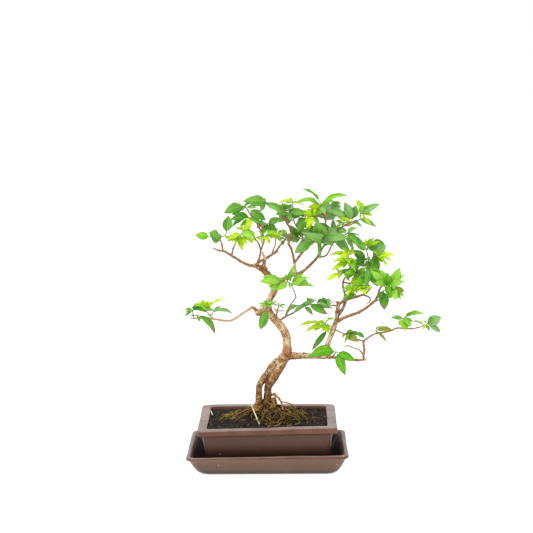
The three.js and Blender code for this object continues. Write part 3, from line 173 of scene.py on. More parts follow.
class Finish:
    """One material, built round a Principled shader."""

    def __init__(self, name, **fixed):
        self.material = bpy.data.materials.new(name)
        self.material.use_nodes = True
        self.tree = self.material.node_tree
        self.shader = self.tree.nodes["Principled BSDF"]
        self.color = None
        for socket, value in fixed.items():
            self.shader.inputs[socket.replace("_", " ")].default_value = value

    def link(self, value, socket):
        if isinstance(value, Term):
            self.tree.links.new(value.socket, socket)
        else:
            socket.default_value = value

    def node(self, kind, settings=None, values=(), output=0):
        node = self.tree.nodes.new(kind)
        for name, setting in (settings or {}).items():
            setattr(node, name, setting)
        named = values.items() if isinstance(values, dict) else enumerate(values)
        for key, value in named:
            self.link(value, node.inputs[key])
        return Term(self, node.outputs[output])

    def place(self):
        return self.node("ShaderNodeTexCoord", output="Object")

    def own(self, name, output="Fac"):
        """A value that is stored on the mesh under this name."""
        return self.node("ShaderNodeAttribute", {"attribute_name": name}, output=output)

    def upward(self):
        """How far the face looks up: 1 straight up, -1 straight down."""
        return self.parts(self.node("ShaderNodeNewGeometry", output="Normal"))[2]

    def parts(self, vector):
        node = self.tree.nodes.new("ShaderNodeSeparateXYZ")
        self.link(vector, node.inputs[0])
        return [Term(self, output) for output in node.outputs]

    def stretched(self, vector, scale):
        return self.node("ShaderNodeVectorMath", {"operation": "MULTIPLY"}, [vector, scale])

    def noise(self, cell, vector=None, detail=3.0, rough=0.55, twist=0.0):
        """Cloudy noise from 0 to 1 whose clouds are about this many millimetres wide."""
        where = self.place() if vector is None else vector
        values = {"Vector": where, "Scale": 1 / (cell * MM), "Detail": detail, "Roughness": rough,
                  "Distortion": twist}
        return self.node("ShaderNodeTexNoise", {}, values)

    def cells(self, cell, vector=None, feature="F1", output=0):
        """Distance from the nearest of many scattered points, about this many millimetres apart."""
        where = self.place() if vector is None else vector
        values = {"Vector": where, "Scale": 1 / (cell * MM)}
        return self.node("ShaderNodeTexVoronoi", {"feature": feature}, values, output)

    def mix(self, share, low, high):
        """From low to high by the share. Each is a socket or a colour in screen values from 0 to 255."""
        low, high = (linear(*color) if isinstance(color, tuple) else color for color in (low, high))
        return self.node("ShaderNodeMix", {"data_type": "RGBA"}, {0: share, 6: low, 7: high}, output=2)

    def lay(self, share, color):
        """Lays a colour over the finish's own, as much as the share says."""
        self.color = self.mix(share, self.color, color)

    def bump(self, height, depth, under=None):
        """A bump whose highest points stand out by this many millimetres."""
        values = {"Height": height, "Distance": depth * MM, "Strength": 1.0}
        if under is not None:
            values["Normal"] = under
        return self.node("ShaderNodeBump", {}, values)

    def wear(self, **values):
        for socket, value in values.items():
            self.link(value, self.shader.inputs[socket.replace("_", " ")])


# %% [markdown]
# ## Surfaces from arrays
# Every new piece is a surface that numpy works out as one array of points. `Surface` gathers such arrays,
# with the values stored on their points, and turns them into one mesh at the end. Outward faces are found
# once for the whole mesh, because every shell in it is closed.

# %% Meshes, tubes and noise
X_PRIME, Y_PRIME, Z_PRIME = 73856093, 19349663, 83492791
SEED_STEP, MIXER = 97531, 1274126177


def soft_noise(points, cell, seed=0):
    """Smooth random values from -1 to 1: a random number at each corner of cubes of this size, blended
    with 3t^2 - 2t^3 across each cube."""
    scaled = np.asarray(points, float) / cell
    low = np.floor(scaled)
    share = scaled - low
    share = share * share * (3 - 2 * share)
    low = low.astype(np.int64)
    total = np.zeros(scaled.shape[:-1])
    for corner in np.ndindex(2, 2, 2):
        x, y, z = np.moveaxis(low + corner, -1, 0)
        key = (x * X_PRIME ^ y * Y_PRIME ^ z * Z_PRIME ^ (seed + 1) * SEED_STEP) & 0xFFFFFFFF
        key = (key ^ key >> 13) * MIXER & 0xFFFFFFFF
        value = ((key ^ key >> 16) & 0xFFFF) / 32767.5 - 1
        weight = np.prod(np.where(np.array(corner) == 1, share, 1 - share), axis=-1)
        total += weight * value
    return total


def unit(vectors):
    """The vectors at length 1."""
    return vectors / np.maximum(np.linalg.norm(vectors, axis=-1, keepdims=True), 1e-12)


class Surface:
    """Closed shells gathered into one mesh, in millimetres, with values stored on their points."""

    def __init__(self, stored=()):
        self.points, self.quads, self.caps, self.kinds, self.uv = [], [], [], [], []
        self.stored = {name: [] for name in stored}
        self.count = 0

    def rings(self, grid, kind=0, uv=None, **stored):
        """Adds a shell of rings (rings, sides, 3), closed round each ring and capped at both ends."""
        rows, sides = grid.shape[:2]
        step = np.arange(sides)
        first = np.arange(rows - 1)[:, None] * sides + step
        second = np.arange(rows - 1)[:, None] * sides + (step + 1) % sides
        quads = np.stack([first, second, second + sides, first + sides], axis=-1).reshape(-1, 4)
        ends = [step[::-1], (rows - 1) * sides + step]
        self.quads.append(quads + self.count)
        self.caps += [(end + self.count).tolist() for end in ends]
        self.kinds += [np.full(len(quads), kind), np.full(len(ends), kind)]
        self.points.append(grid.reshape(-1, 3))
        size = rows * sides
        self.uv.append(np.zeros((size, 2)) if uv is None else uv.reshape(-1, 2))
        for name, values in self.stored.items():
            values.append(np.broadcast_to(stored.get(name, 0), (rows, sides)).reshape(-1))
        self.count += size

    def tube(self, rows, steps, sides, kind=0):
        """Adds a round tube along a smooth route of rows (x, y, z, radius)."""
        fine = smooth_route(rows, steps)
        self.rings(tube_grid(fine[:, :3], fine[:, 3], sides), kind)

    def mesh(self, name):
        quads = np.concatenate(self.quads)
        faces = quads.tolist() + self.caps
        mesh = bpy.data.meshes.new(name)
        mesh.from_pydata((np.concatenate(self.points) * MM).tolist(), [], faces)
        body = np.concatenate(self.kinds[0::2])
        kinds = np.concatenate([body, np.concatenate(self.kinds[1::2])]).astype(np.int32)
        mesh.polygons.foreach_set("material_index", kinds)
        corner = np.zeros(len(mesh.loops), np.int32)
        mesh.loops.foreach_get("vertex_index", corner)
        mesh.uv_layers.new(name="UVMap").data.foreach_set("uv", np.concatenate(self.uv)[corner].ravel())
        for stored, values in self.stored.items():
            attribute = mesh.attributes.new(stored, "FLOAT", "POINT")
            attribute.data.foreach_set("value", np.concatenate(values).astype(np.float32))
        return outward(mesh)


def outward(mesh):
    """Turns every closed shell's faces outward and shades them smooth."""
    work = bmesh.new()
    work.from_mesh(mesh)
    bmesh.ops.recalc_face_normals(work, faces=work.faces)
    work.to_mesh(mesh)
    work.free()
    mesh.polygons.foreach_set("use_smooth", np.ones(len(mesh.polygons), bool))
    return mesh


def piece(name, mesh, finishes, slot, *nodes):
    """Shows a mesh as one piece of the object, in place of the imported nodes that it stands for."""
    thing = bpy.data.objects.new(name, mesh)
    for finish in finishes:
        mesh.materials.append(finish.material)
    scene.collection.objects.link(thing)
    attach(thing, "root")
    if nodes:
        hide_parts(*nodes)
    print(name, "faces:", len(mesh.polygons))
    return thing


def smooth_route(rows, steps):
    """A Catmull-Rom curve through rows of any width, with this many steps from one row to the next."""
    rows = np.asarray(rows, float)
    padded = np.concatenate([[2 * rows[0] - rows[1]], rows, [2 * rows[-1] - rows[-2]]])
    t = (np.arange(steps) / steps)[None, :, None]
    a, b, c, d = (padded[k:len(padded) - 3 + k, None, :] for k in range(4))
    curve = 0.5 * (2 * b + (c - a) * t + (2 * a - 5 * b + 4 * c - d) * t**2 + (3 * b - a - 3 * c + d) * t**3)
    return np.concatenate([curve.reshape(-1, rows.shape[1]), rows[-1:]])


def tube_grid(points, radii, sides):
    """Rings round a route: point + radius (cos a across + sin a side), square to the route's direction."""
    along = unit(np.gradient(points, axis=0))
    worst = np.abs(along).max(axis=0)
    reference = np.eye(3)[int(np.argmin(worst))]
    across = unit(reference - along * (along @ reference)[:, None])
    side = np.cross(along, across)
    angle = 2 * np.pi * np.arange(sides) / sides
    turned = np.cos(angle)[None, :, None] * across[:, None] + np.sin(angle)[None, :, None] * side[:, None]
    return points[:, None] + np.asarray(radii)[:, None, None] * turned


def travelled(points):
    """How far along the route each of its points lies."""
    steps = np.linalg.norm(np.diff(points, axis=0), axis=1)
    return np.concatenate([[0], np.cumsum(steps)])


# %% [markdown]
# ## The glazed pot and its tray
# Both are pressed from clay and glazed a satin brown, so every edge is soft and the long walls are a little
# wavy. A profile of half sizes is carried round a rectangle with round corners. Cutting the corners of the
# profile twice rounds it as clay does, and a slow wave lowers the rim at the left front, as on the real pot.

# %% Profiles carried round a rectangle
CORNER_POINTS = 10
DROOP_HALF_X, DROOP_HALF_Y = 100, 70
LONG_POINTS = 26
SHORT_POINTS = 18


def softened(profile, rounds=2):
    """Cuts each corner of the profile at a quarter and three quarters of its sides, as often as asked."""
    rows = np.asarray(profile, float)
    for _ in range(rounds):
        low, high = rows[:-1], rows[1:]
        cut = np.stack([0.75 * low + 0.25 * high, 0.25 * low + 0.75 * high], axis=1)
        rows = np.concatenate([rows[:1], cut.reshape(-1, rows.shape[1]), rows[-1:]])
    return rows


def rectangle_grid(profile):
    """Rings of straight sides and quarter circles, one for each row (half x, half y, corner radius, z)."""
    half_x, half_y, corner, height = (column[:, None] for column in profile.T)
    runs = []
    for turn, (sign_x, sign_y) in enumerate([(1, 1), (-1, 1), (-1, -1), (1, -1)]):
        angle = (turn + np.linspace(0, 1, CORNER_POINTS)) * math.pi / 2
        x = sign_x * (half_x - corner) + corner * np.cos(angle)
        y = sign_y * (half_y - corner) + corner * np.sin(angle)
        runs.append(np.stack([x, y], axis=-1))
    ring = []
    for turn, run in enumerate(runs):
        ring.append(run)
        count = LONG_POINTS if turn % 2 == 0 else SHORT_POINTS
        share = np.linspace(0, 1, count + 2)[1:-1][None, :, None]
        ring.append(run[:, -1:] * (1 - share) + runs[(turn + 1) % 4][:, :1] * share)
    flat = np.concatenate(ring, axis=1)
    return np.concatenate([flat, np.broadcast_to(height[..., None], (*flat.shape[:2], 1))], axis=-1)


def hand_made(grid, droop, lift, base, top):
    """Slow waves in the walls, and a rim that droops to the left front corner and rises at the back."""
    x, y, z = np.moveaxis(grid, -1, 0)
    rise = np.clip((z - base) / (top - base), 0, 1)
    front = np.clip(0.5 - y / (2 * DROOP_HALF_Y), 0, 1)
    waved = grid.copy()
    waved[..., 0] += 0.8 * soft_noise(grid * [1, 1, 0.3], 42, 1) * rise
    waved[..., 1] += 0.9 * soft_noise(grid * [1, 1, 0.3], 42, 2) * rise
    sag = droop * front * (0.5 - x / (2 * DROOP_HALF_X))
    waved[..., 2] += rise * (0.6 * soft_noise(grid * [1, 1, 0], 34, 3) - sag + lift * (1 - front))
    return waved


# %% Tray and pot
TRAY_HALF_X, TRAY_HALF_Y, TRAY_TOP, TRAY_FLOOR = 116, 82, 31.5, 4.5
WAVE_ROOM = 0.5
POT_HALF_X, POT_HALF_Y, POT_TOP = 100, 72, 70
FOOT_GAP = 0.3
FOOT_HEIGHT = 3
POT_LOW = TRAY_FLOOR + FOOT_GAP + FOOT_HEIGHT
POT_FLOOR = POT_LOW + 6
DRAIN_HOLES = [(-40, 0), (40, 0)]
DRAIN_RADIUS = 6
DRAIN_SIDES = 24


def inset_rows(half_x, half_y, rows):
    """Profile rows given as (inset, corner radius, z) of a rectangle with these half sizes."""
    return [(half_x - inset, half_y - inset, corner, z) for inset, corner, z in rows]


tray_profile = inset_rows(TRAY_HALF_X - WAVE_ROOM, TRAY_HALF_Y - WAVE_ROOM, [
    (25, 10, 0), (20, 12, 0.6), (14, 13, 5), (8.5, 13, 14.5), (4, 12, TRAY_TOP - 6.5),
    (0.4, 12, TRAY_TOP - 5.2), (0, 12, TRAY_TOP - 2.6), (0.4, 12, TRAY_TOP - 0.8), (2.4, 11, TRAY_TOP),
    (5.5, 10, TRAY_TOP - 0.4), (7.5, 9, TRAY_TOP - 3.5), (16, 8, 14.5), (22, 7, 8), (26.5, 6, TRAY_FLOOR),
    (40, 5, TRAY_FLOOR)])
pot_profile = inset_rows(POT_HALF_X, POT_HALF_Y, [
    (30, 6, POT_LOW), (15, 6, POT_LOW), (13.5, 7, POT_LOW + 2), (7, 7, 60.2), (5.5, 7.5, 60.8), (1, 8, 61),
    (0, 8.5, 62.5), (0, 8.5, 67.5), (0.9, 8, 69.4), (3, 7, POT_TOP), (13, 5, POT_TOP), (14, 4.5, 68.8),
    (15, 5, 60), (20.5, 5, POT_FLOOR + 1.5), (22.5, 4, POT_FLOOR), (40, 4, POT_FLOOR)])

tray_surface = Surface()
tray_surface.rings(hand_made(rectangle_grid(softened(tray_profile)), droop=2.2, lift=0, base=3, top=TRAY_TOP))
pot_surface = Surface()
pot_surface.rings(hand_made(rectangle_grid(softened(pot_profile)), droop=4.6, lift=3.2, base=24, top=POT_TOP))
FOOT_PROFILE = np.array([(12.4, 6.4, 2, POT_LOW - FOOT_HEIGHT), (13, 7, 2, POT_LOW - 2.4),
                         (13, 7, 2, POT_LOW + 1)])
FOOT_INSET = (32, 28)
for side in (-1, 1):
    for end in (-1, 1):
        foot = rectangle_grid(FOOT_PROFILE)
        foot[..., 0] += side * (POT_HALF_X - FOOT_INSET[0])
        foot[..., 1] += end * (POT_HALF_Y - FOOT_INSET[1])
        pot_surface.rings(foot)


def drilled(mesh, places, radius, low, high):
    """The mesh with round holes cut straight down through it."""
    drill = Surface()
    for x, y in places:
        centre = np.array([(x, y, low), (x, y, high)], float)
        drill.rings(tube_grid(centre, [radius, radius], DRAIN_SIDES))
    body = bpy.data.objects.new("drilled_body", mesh)
    bit = bpy.data.objects.new("drill_bit", drill.mesh("drill_bit"))
    scene.collection.objects.link(body)
    scene.collection.objects.link(bit)
    cut = body.modifiers.new("drill", "BOOLEAN")
    cut.object = bit
    cut.operation = "DIFFERENCE"
    cut.solver = "EXACT"
    done = bpy.data.meshes.new_from_object(body.evaluated_get(bpy.context.evaluated_depsgraph_get()))
    bpy.data.objects.remove(bit)
    bpy.data.objects.remove(body)
    return done


# %% [markdown]
# ### Satin brown glaze
# Iron glaze over dark clay: it breaks to a redder brown on the edge of the rims, and is darkest low on the
# walls. The top of the rims is painted greyish as a painted reflection of the white room, and painted shade
# darkens the underside of the rims, the inside of the tray and the foot. Fine speckle and a few pale grains
# sit in it. Height and the direction of the face decide the tone, so it holds from every side.

# %% Glaze finish
def glaze(name, dark_height, pale_height, low, high):
    """Satin glaze that runs from its low to its high colour between two heights, with a redder rim above,
    a painted reflection on the rim tops and painted shade under the rims, inside and at the foot.
    """
    finish = Finish(name, Specular_IOR_Level=0.4, Coat_Roughness=0.25)
    height = finish.parts(finish.place())[2]
    upward = finish.upward()
    cloud = finish.noise(26, detail=4)
    fine = finish.noise(1.6, detail=2)
    lift = (height + (cloud - 0.5) * (8 * MM)).between(dark_height * MM, pale_height * MM)
    finish.color = finish.mix(lift, low, high)
    # Painted contact shadow: the glaze is darkened at the foot, where it stands.
    painted_foot_shadow = 1 - (height + (cloud - 0.5) * (4 * MM)).between(2 * MM, 10 * MM)
    finish.lay(painted_foot_shadow * 0.9, (20, 10, 4))
    near_rim = height.between((pale_height - 1) * MM, (pale_height + 1.5) * MM)
    finish.lay(near_rim, finish.mix(cloud.between(0.35, 0.7), (92, 50, 36), (108, 66, 50)))
    # Painted reflection: the upward faces of the rims are painted greyish, as the white room shows in satin
    # glaze.
    top = finish.mix(cloud.between(0.3, 0.7), (118, 98, 90), (140, 122, 115))
    finish.lay(upward.between(0.45, 0.92) * near_rim, top)
    # Painted shade under the rims: their downward faces are darkened.
    finish.lay((0 - upward).between(0.25, 0.9) * near_rim * 0.7, (44, 24, 16))
    # Painted shade inside the tray and pot: upward faces below the rim are darkened nearly to black.
    inside = upward.between(0.02, 0.15) * (1 - height.between((pale_height - 3) * MM, (pale_height - 1) * MM))
    finish.lay(inside * 0.92, (16, 8, 4))
    finish.lay((fine.between(0.35, 0.65) - 0.5).size() * 0.22, (58, 40, 32))
    size = finish.noise(14, detail=0).between(0.44, 0.7) * 0.07
    pale_grain = 1 - (finish.cells(12) - size).between(0, 0.016)
    finish.lay(pale_grain * size.between(0.004, 0.02), (205, 190, 178))
    skin = finish.bump(finish.noise(9, detail=3), 0.5)
    finish.wear(Base_Color=finish.color, Roughness=0.36 + fine * 0.14, Coat_Weight=0.05 + cloud * 0.06,
                Normal=finish.bump(fine, 0.05, skin))
    return finish


tray_glaze = glaze("tray_glaze", 2, 27, (90, 62, 47), (112, 82, 67))
pot_glaze = glaze("pot_glaze", 20, 60.5, (44, 18, 8), (92, 59, 42))
piece("glazed_tray", tray_surface.mesh("glazed_tray"), [tray_glaze], "brown_glaze", "drip_tray")
pot_mesh = drilled(pot_surface.mesh("glazed_pot"), DRAIN_HOLES, DRAIN_RADIUS, POT_LOW - 2, POT_FLOOR + 2)
piece("glazed_pot", outward(pot_mesh), [pot_glaze], "brown_glaze", "pot")

plastic = Finish("mesh_plastic", Roughness=0.5)
plastic.wear(Base_Color=plastic.mix(plastic.noise(3), (30, 32, 28), (46, 48, 42)),
             Normal=plastic.bump(plastic.noise(0.6), 0.05))
for node in ("drain_mesh_left", "drain_mesh_right"):
    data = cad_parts[node].data
    data.materials.clear()
    data.materials.append(plastic.material)


# %% [markdown]
# ## The wood
# Two stems rise from the soil and grow together into one trunk, which swings right, back left and up, and
# carries a low arm with a second trunk. Its routes are given in the front view, as plain text: x, z, depth
# behind the trunk's plane and radius, in millimetres. `seen` slides a point along the line of sight to its
# depth.

# %% Tables in plain text
def entries(table):
    """The entries of a table, which blank lines part, each as the list of its parts, which bars part."""
    return [entry.split("|") for entry in table.strip().split("\n\n")]


def rows_of(part):
    """The rows of one part, which commas part, each as its numbers and the words that follow them."""
    rows = []
    for row in part.split(",") if part.strip() else ():
        words = row.split()
        numbers = [float(word) for word in words if not word[0].isalpha()]
        rows.append((numbers, words[len(numbers):]))
    return rows


def numbers_of(part):
    """The rows of a part that holds only numbers, as one array."""
    return np.array([numbers for numbers, _ in rows_of(part)])


# %% Branch routes
BRANCHES = """
main_stem | -1 74 6 10.4, -0.5 84.5 5 8.1, -0.5 95 5 6.6, 0 105.5 4 6, 1 114 4 6, 4.5 121.5 3 6.5,
10 131 2 7.2, 15 141.5 1 8.1, 20.5 152 0 8.6, 26.5 160.5 -1 8.2, 29 169.5 -1 7.1, 28.5 179 0 6.3,
27.5 188.5 1 6.2, 24 198 2 6.3, 17.5 207 3 6.2, 10 215.5 3 6, 3 223.5 3 6.3, 0 231 2 6.2, 1.5 237 2 5.5,
4.5 244 1 4.9, 8.5 251 1 4.8, 12 258.5 0 4.8, 15 266 0 4.8

left_stem | -15 74 -5 9.2, -13.5 84.5 -4 6.8, -12.5 95 -3 5.5, -12.5 106 -2 5, -11.5 116.5 -1 5,
-6.5 125.5 0 5.3, 0 134 1 5.8, 7 144.5 1 6, 15.5 153.5 1 5.6

base_burl | 4.5 80 -3 7.2, 7 89 -5 6, 8.5 95 -6 4.9, 9 99 -6 2.9

junction_scar | 25.5 159 0 6.9, 25 158.5 -7 5.9, 24.5 158 -10.5 4.2

cut_stub | 1.5 226.5 2 6, -7 225.5 0 5.8, -13.5 224.5 -2 5.3, -17 224.5 -3 4.3

left_arm | 15.5 264.5 0 4.6, 10.5 270 -1 4.6, 5.5 275.5 -2 4.5, -0.5 282 -4 4.6, -6.5 287.5 -5 4.3,
-11 290.5 -7 3.9, -15.5 292.5 -8 3.5, -19 294 -9 2.7

left_reach | -13 291.5 -8 2.6, -24 293 -11 2.2, -31 296 -14 1.9, -38.5 300 -17 1.9, -47 305.5 -20 1.8,
-55 310.5 -23 1.7, -63.5 316 -27 1.7

left_bare_end | -60.5 314 -26 1.4, -67.5 314.5 -29 1.2, -73 317 -31 1, -78 319 -33 0.7

far_left_twig | -63 315 -27 1.3, -64 323 -28 1.2, -66 329.5 -29 0.9

left_lime_twig | -50.5 306.5 -21 1.4, -49 313 -21 1.2, -48 318 -22 1.2, -45 324.5 -24 1, -43 329.5 -26 0.9

dead_stub | 0 283.5 -4 3, -3.5 292 -6 2.7, -2.5 301 -7 2.3, -4.5 308 -8 1.7, -6 313 -8 1

inner_left_twig | -15.5 292 -8 2.2, -11.5 300.5 -11 1.6, -9 309.5 -13 1.4, -8.5 315.5 -14 1.3,
-10.5 323.5 -17 1.2, -14 329 -19 0.9

left_crown_twig | -8.5 313.5 -14 1.3, -6 320.5 -12 1.2, -3.5 328.5 -9 1.2, -5 338.5 -5 1.2,
-10.5 348.5 -2 1.2, -16 358.5 2 1.1, -22 366 4 1, -26.5 373 5 0.9

left_crown_side | -16.5 359.5 2 1, -9.5 356.5 4 0.9, -1.5 354 6 0.8

inner_right_twig | -14.5 293.5 -9 2.3, -9.5 299 -9 2, -3.5 301.5 -7 1.9, 2 305 -4 1.9, 8.5 309 0 1.9,
14 312.5 3 1.9, 16.5 314.5 4 1.7

inner_right_a | 7 307.5 -1 1.3, 10 316 2 1, 13 324 6 0.9, 13 332 10 0.8

inner_right_b | 13 312 3 1.6, 18 319.5 8 1.4, 22.5 325 12 1.2, 26 328.5 15 0.9

right_arm | 14 263 0 4.2, 19 269.5 3 3.5, 25 273 6 3.2, 33.5 277.5 10 2.8, 42.5 279.5 13 2.7

crown_fork | 42.5 278.5 13 2.4, 41.5 286 12 1.9, 40.5 292.5 10 1.9, 40 298.5 9 1.9

long_dark_twig | 40 296 9 1.8, 38.5 306.5 7 1.6, 35.5 317.5 3 1.5, 32 324.5 1 1.5, 34.5 330 0 1.5,
36 335.5 -2 1.5, 35 343.5 -4 1.4, 30.5 353.5 -7 1.4, 22.5 365 -11 1.3, 14.5 374.5 -14 1.2, 7 381 -17 0.9

dark_thorn_left | 32 325 1 1, 30.5 332.5 3 0.9, 28.5 342 5 0.7

right_prong | 40 296 9 1.9, 47 305.5 13 1.7, 54 314.5 18 1.7, 59 321 22 1.6, 65 329 25 1.4, 74.5 338 21 1.3,
82.5 345.5 16 1.2, 85.5 356.5 12 1.1, 83 367 10 1, 80 375 9 0.9

pink_crown_twig | 59 320.5 22 1.3, 53 331.5 16 1.2, 48 342 10 1.1, 43.5 349 6 1, 40 357 3 0.9,
39 368.5 1 0.9, 38.5 381 0 0.7

crown_inner_twig | 48 341.5 10 1.1, 50.5 349.5 12 0.9, 54.5 358.5 14 0.8

crown_back_twig | 85 356 12 1, 87 366 18 0.9, 88 374.5 23 0.8

crown_lime_twig | 83.5 365 10.5 0.9, 76 363.5 0 0.9, 70 363.5 -9 0.7

right_long_twig | 41 278.5 13 2.4, 52 284 18 2.1, 61 291.5 24 2, 70 300.5 30 1.9, 75 307 33 1.8,
79 315 36 1.7, 84.5 323.5 40 1.6, 90 333 43 1.3

right_long_side | 74.5 306 33 1.4, 81 305 30 1.2, 87 308 28 1.1, 91.5 316 27 1, 95.5 325 29 0.9

right_crown_twig | 88 329 42 1.3, 96.5 340 36 1.1, 104 345.5 33 1.1, 113.5 350 27 1, 119.5 353.5 23 0.9

right_pink_twig | 112.5 349.5 27 1, 122.5 351.5 18 0.9, 131 357 10 0.8

right_front_twig | 95 324 29 1, 103 329 20 0.9, 111 335 12 0.8

low_arm | 27 160 -1 6.6, 35 160 1 5.9, 43 160 4 5.2, 53.5 160.5 6 4.6, 65 159.5 9 4.2, 76.5 159 11 4,
85.5 158.5 13 3.7

low_reach | 81 159 12 2.7, 91 158 12 2.3, 105.5 156 9 2, 120 154 5 1.9, 132 153.5 2 1.9, 143.5 154 0 1.3

riser | 140 153.5 1 1.9, 140 161 1 1.7, 141 167.5 0 1.7, 140 175.5 -1 1.7, 139.5 181.5 -2 1.7

right_end_twig | 139 180.5 -2 1.4, 144 184.5 -4 1.3, 151.5 189.5 -7 1.2, 159.5 193 -10 1.2,
169.5 194 -13 1.2, 179.5 196.5 -16 1.2, 188.5 200 -18 1.2, 198.5 199.5 -20 1.1, 208.5 199 -21 1,
218.5 200.5 -21 0.9, 227.5 204 -20 0.8

thin_left_twig | 139.5 181.5 -2 1.3, 134 183 2 1, 127 185.5 6 0.9, 119.5 189 10 0.9, 113 191.5 15 0.9,
107 194.5 19 0.9, 100.5 197.5 23 0.9, 92.5 199 27 0.7

lower_left_twig | 140 161 1 1.2, 136 165.5 -3 1, 132 169 -6 0.9, 123 172.5 -9 0.9, 117 174.5 -11 0.9,
112 173.5 -12 0.7

low_leaf_stub | 93.5 157 11.5 1.3, 96.5 160.5 5 1.1, 98.5 163.5 -1 0.9

heart_twig | 200 199.5 -20 0.9, 198.5 207.5 -18 0.9, 198 213 -17 0.7

second_trunk | 84 159 13 4.5, 85.5 168.5 14 4.1, 88.5 179 15 4, 92.5 190 17 3.8, 97 202.5 18 3.7,
100.5 212.5 20 3.5, 102 223 21 3.2, 103 232.5 22 2.7, 106 237.5 22 2.4

second_cut | 103 234 22 2.3, 101.5 240 23 2

second_left_twig | 103 232 22 1.4, 97.5 234 18 1.1, 93 233.5 14 0.9

second_reach | 104 236 22 2.4, 112 240.5 20 2.3, 120.5 244 17 2, 130.5 246.5 14 1.9, 137.5 248.5 11 1.4,
144 247.5 9 1.2, 149 244.5 7 1.1, 149.5 241 6 0.9, 145 236 5 0.7

second_thorn | 139 248.5 10.5 1.4, 143.5 252 9 1.4, 148 256 8 1, 152 261.5 7 0.7

second_prong | 104 220.5 21 2.6, 108.5 227 23 2.3, 112 234.5 25 2.2, 114 241 26 2, 113 248.5 27 1.6,
112 254 27 1.4, 110 261.5 28 1.4, 110.5 269 28 1.3, 114.5 276.5 27 1.2, 118 284 25 1.2, 121 291 23 1.1,
119 295 21 0.9

prong_leaf_twig | 121 290 23 0.9, 124.5 288.5 19 0.9, 128.5 284 16 0.8

prong_yellow_stub | 112.5 253.5 27 1.2, 116 255.5 18 1, 119.5 256.5 10 0.9

pink_right_twig | 111 267.5 28 1.2, 119.5 266.5 33 1.1, 129.5 269.5 38 1.1, 129.5 282 41 1,
133 290.5 43 0.9, 140.5 291.5 45 0.8

pink_right_fork | 129 269 38 1.1, 137.5 275 30 1, 144.5 279 22 0.9, 146.5 284.5 16 0.8

right_back_twig | 129.5 283 41 1.2, 137.5 284.5 50 1.1, 145.5 291 54 1.1, 147 301.5 52 1, 145 310.5 50 0.9

right_limb | 103.5 210.5 20 2.7, 108.5 214.5 17 2.3, 114.5 217 14 2.2, 123 220 10 2.2, 133.5 224 5 2.2,
143.5 230 0 2, 153.5 238 -5 1.9, 159.5 245.5 -8 1.7, 162.5 255.5 -11 1.4, 166 261.5 -13 1.2, 170.5 264 -15 1

limb_spur_a | 153 237.5 -5 1.3, 161.5 241.5 -8 0.8

low_left_branch | -12.5 224.5 -2 3.5, -18.5 230.5 -4 2.2, -22.5 232 -6 1.9, -26 229 -8 1.7,
-35 223.5 -12 1.6, -45 216.5 -16 1.6, -51.5 213 -19 1.6, -59.5 212.5 -22 1.5, -68.5 213.5 -25 1.5,
-78.5 215.5 -29 1.4, -90 216.5 -32 1.3, -101.5 216 -35 1.2, -111 216 -38 0.9

low_left_rise | -77 215 -28.5 1.2, -83.5 221 -31 1, -88 226.5 -33 0.8

low_left_tip | -106 216 -36.5 1, -107 221 -38 0.9, -107.5 225 -40 0.7

low_left_front | -96.5 216.5 -33.5 1, -99.5 218.5 -40 0.9, -101.5 220 -44 0.7

middle_twig | 16 211 3 1.7, 26 217.5 7 1.4, 36.5 222.5 12 1.3, 45 227.5 17 1.2, 53 232 21 0.9

middle_riser | 12.5 214 0 1.6, 14 220.5 -3 1.3, 15 226.5 -5 1.2, 16.5 231.5 -6 0.8

middle_cross | 10 231 -8 0.7, 12.5 228 -6 0.9, 15.5 226.5 -5 0.9, 21 226.5 -8 0.8, 26 226.5 -11 0.6

middle_thin_twig | 28 218.5 8 1, 30 226 4 0.9, 32.5 232.5 0 0.9, 39.5 242.5 -6 0.8, 42 246.5 -8 0.9,
39.5 255 -12 0.8, 36.5 262 -15 0.7

root_twig | 7 103.5 0 1.9, 11 102 -4 1.4, 16.5 97.5 -6 1.4, 19.5 91.5 -7 1.3, 21 86 -8 1.3, 22 78.5 -9 1.3

root_twig_side | 19 92.5 -7 1.2, 26.5 91 -4 1, 34.5 88 -1 0.9, 41 82.5 2 0.9
"""

THICK = ("main_stem", "left_stem", "base_burl", "junction_scar", "cut_stub", "left_arm", "right_arm",
         "low_arm", "second_trunk", "crown_fork", "dead_stub")


def seen(rows):
    """Points at their depth, seen at Q of the front view: eye + (Q - eye) (depth - eye y) / -eye y."""
    rows = np.atleast_2d(rows)
    flat = np.stack([rows[:, 0], np.zeros(len(rows)), rows[:, 1]], axis=1)
    reach = (rows[:, 2] - EYE[1]) / -EYE[1]
    return EYE + (flat - EYE) * reach[:, None]


routes = {}
for name, part in entries(BRANCHES):
    rows = numbers_of(part)
    routes[name.strip()] = (seen(rows), rows[:, 3])
print("branches:", len(routes))

# %% [markdown]
# ### Trunk
# The thick limbs meet in swellings, not in seams. Their tubes are made as one skin of even cells with a voxel
# remesh, which melts the joints, and a few rounds of smoothing follow. Each point then finds the nearest
# point of a limb's route. That gives its place along and round the limb, the straight-grained space that bark
# patterns live in.

# %% Trunk skin
TRUNK_VOXEL = 0.9
TRUNK_SIDES = 20
SMOOTH_ROUNDS = 5
RING_STEPS = 5
SAMPLE_STEPS = 12
GRAIN_OFFSET = 37


def melted(surface, voxel, rounds):
    """One skin round overlapping shells: voxel remesh, then points drawn towards their neighbours."""
    rough = bpy.data.objects.new("rough_trunk", surface.mesh("rough_trunk"))
    scene.collection.objects.link(rough)
    cells = rough.modifiers.new("cells", "REMESH")
    cells.mode = "VOXEL"
    cells.voxel_size = voxel * MM
    smooth = rough.modifiers.new("smooth", "SMOOTH")
    smooth.factor = 0.5
    smooth.iterations = rounds
    mesh = bpy.data.meshes.new_from_object(rough.evaluated_get(bpy.context.evaluated_depsgraph_get()))
    bpy.data.objects.remove(rough)
    return mesh


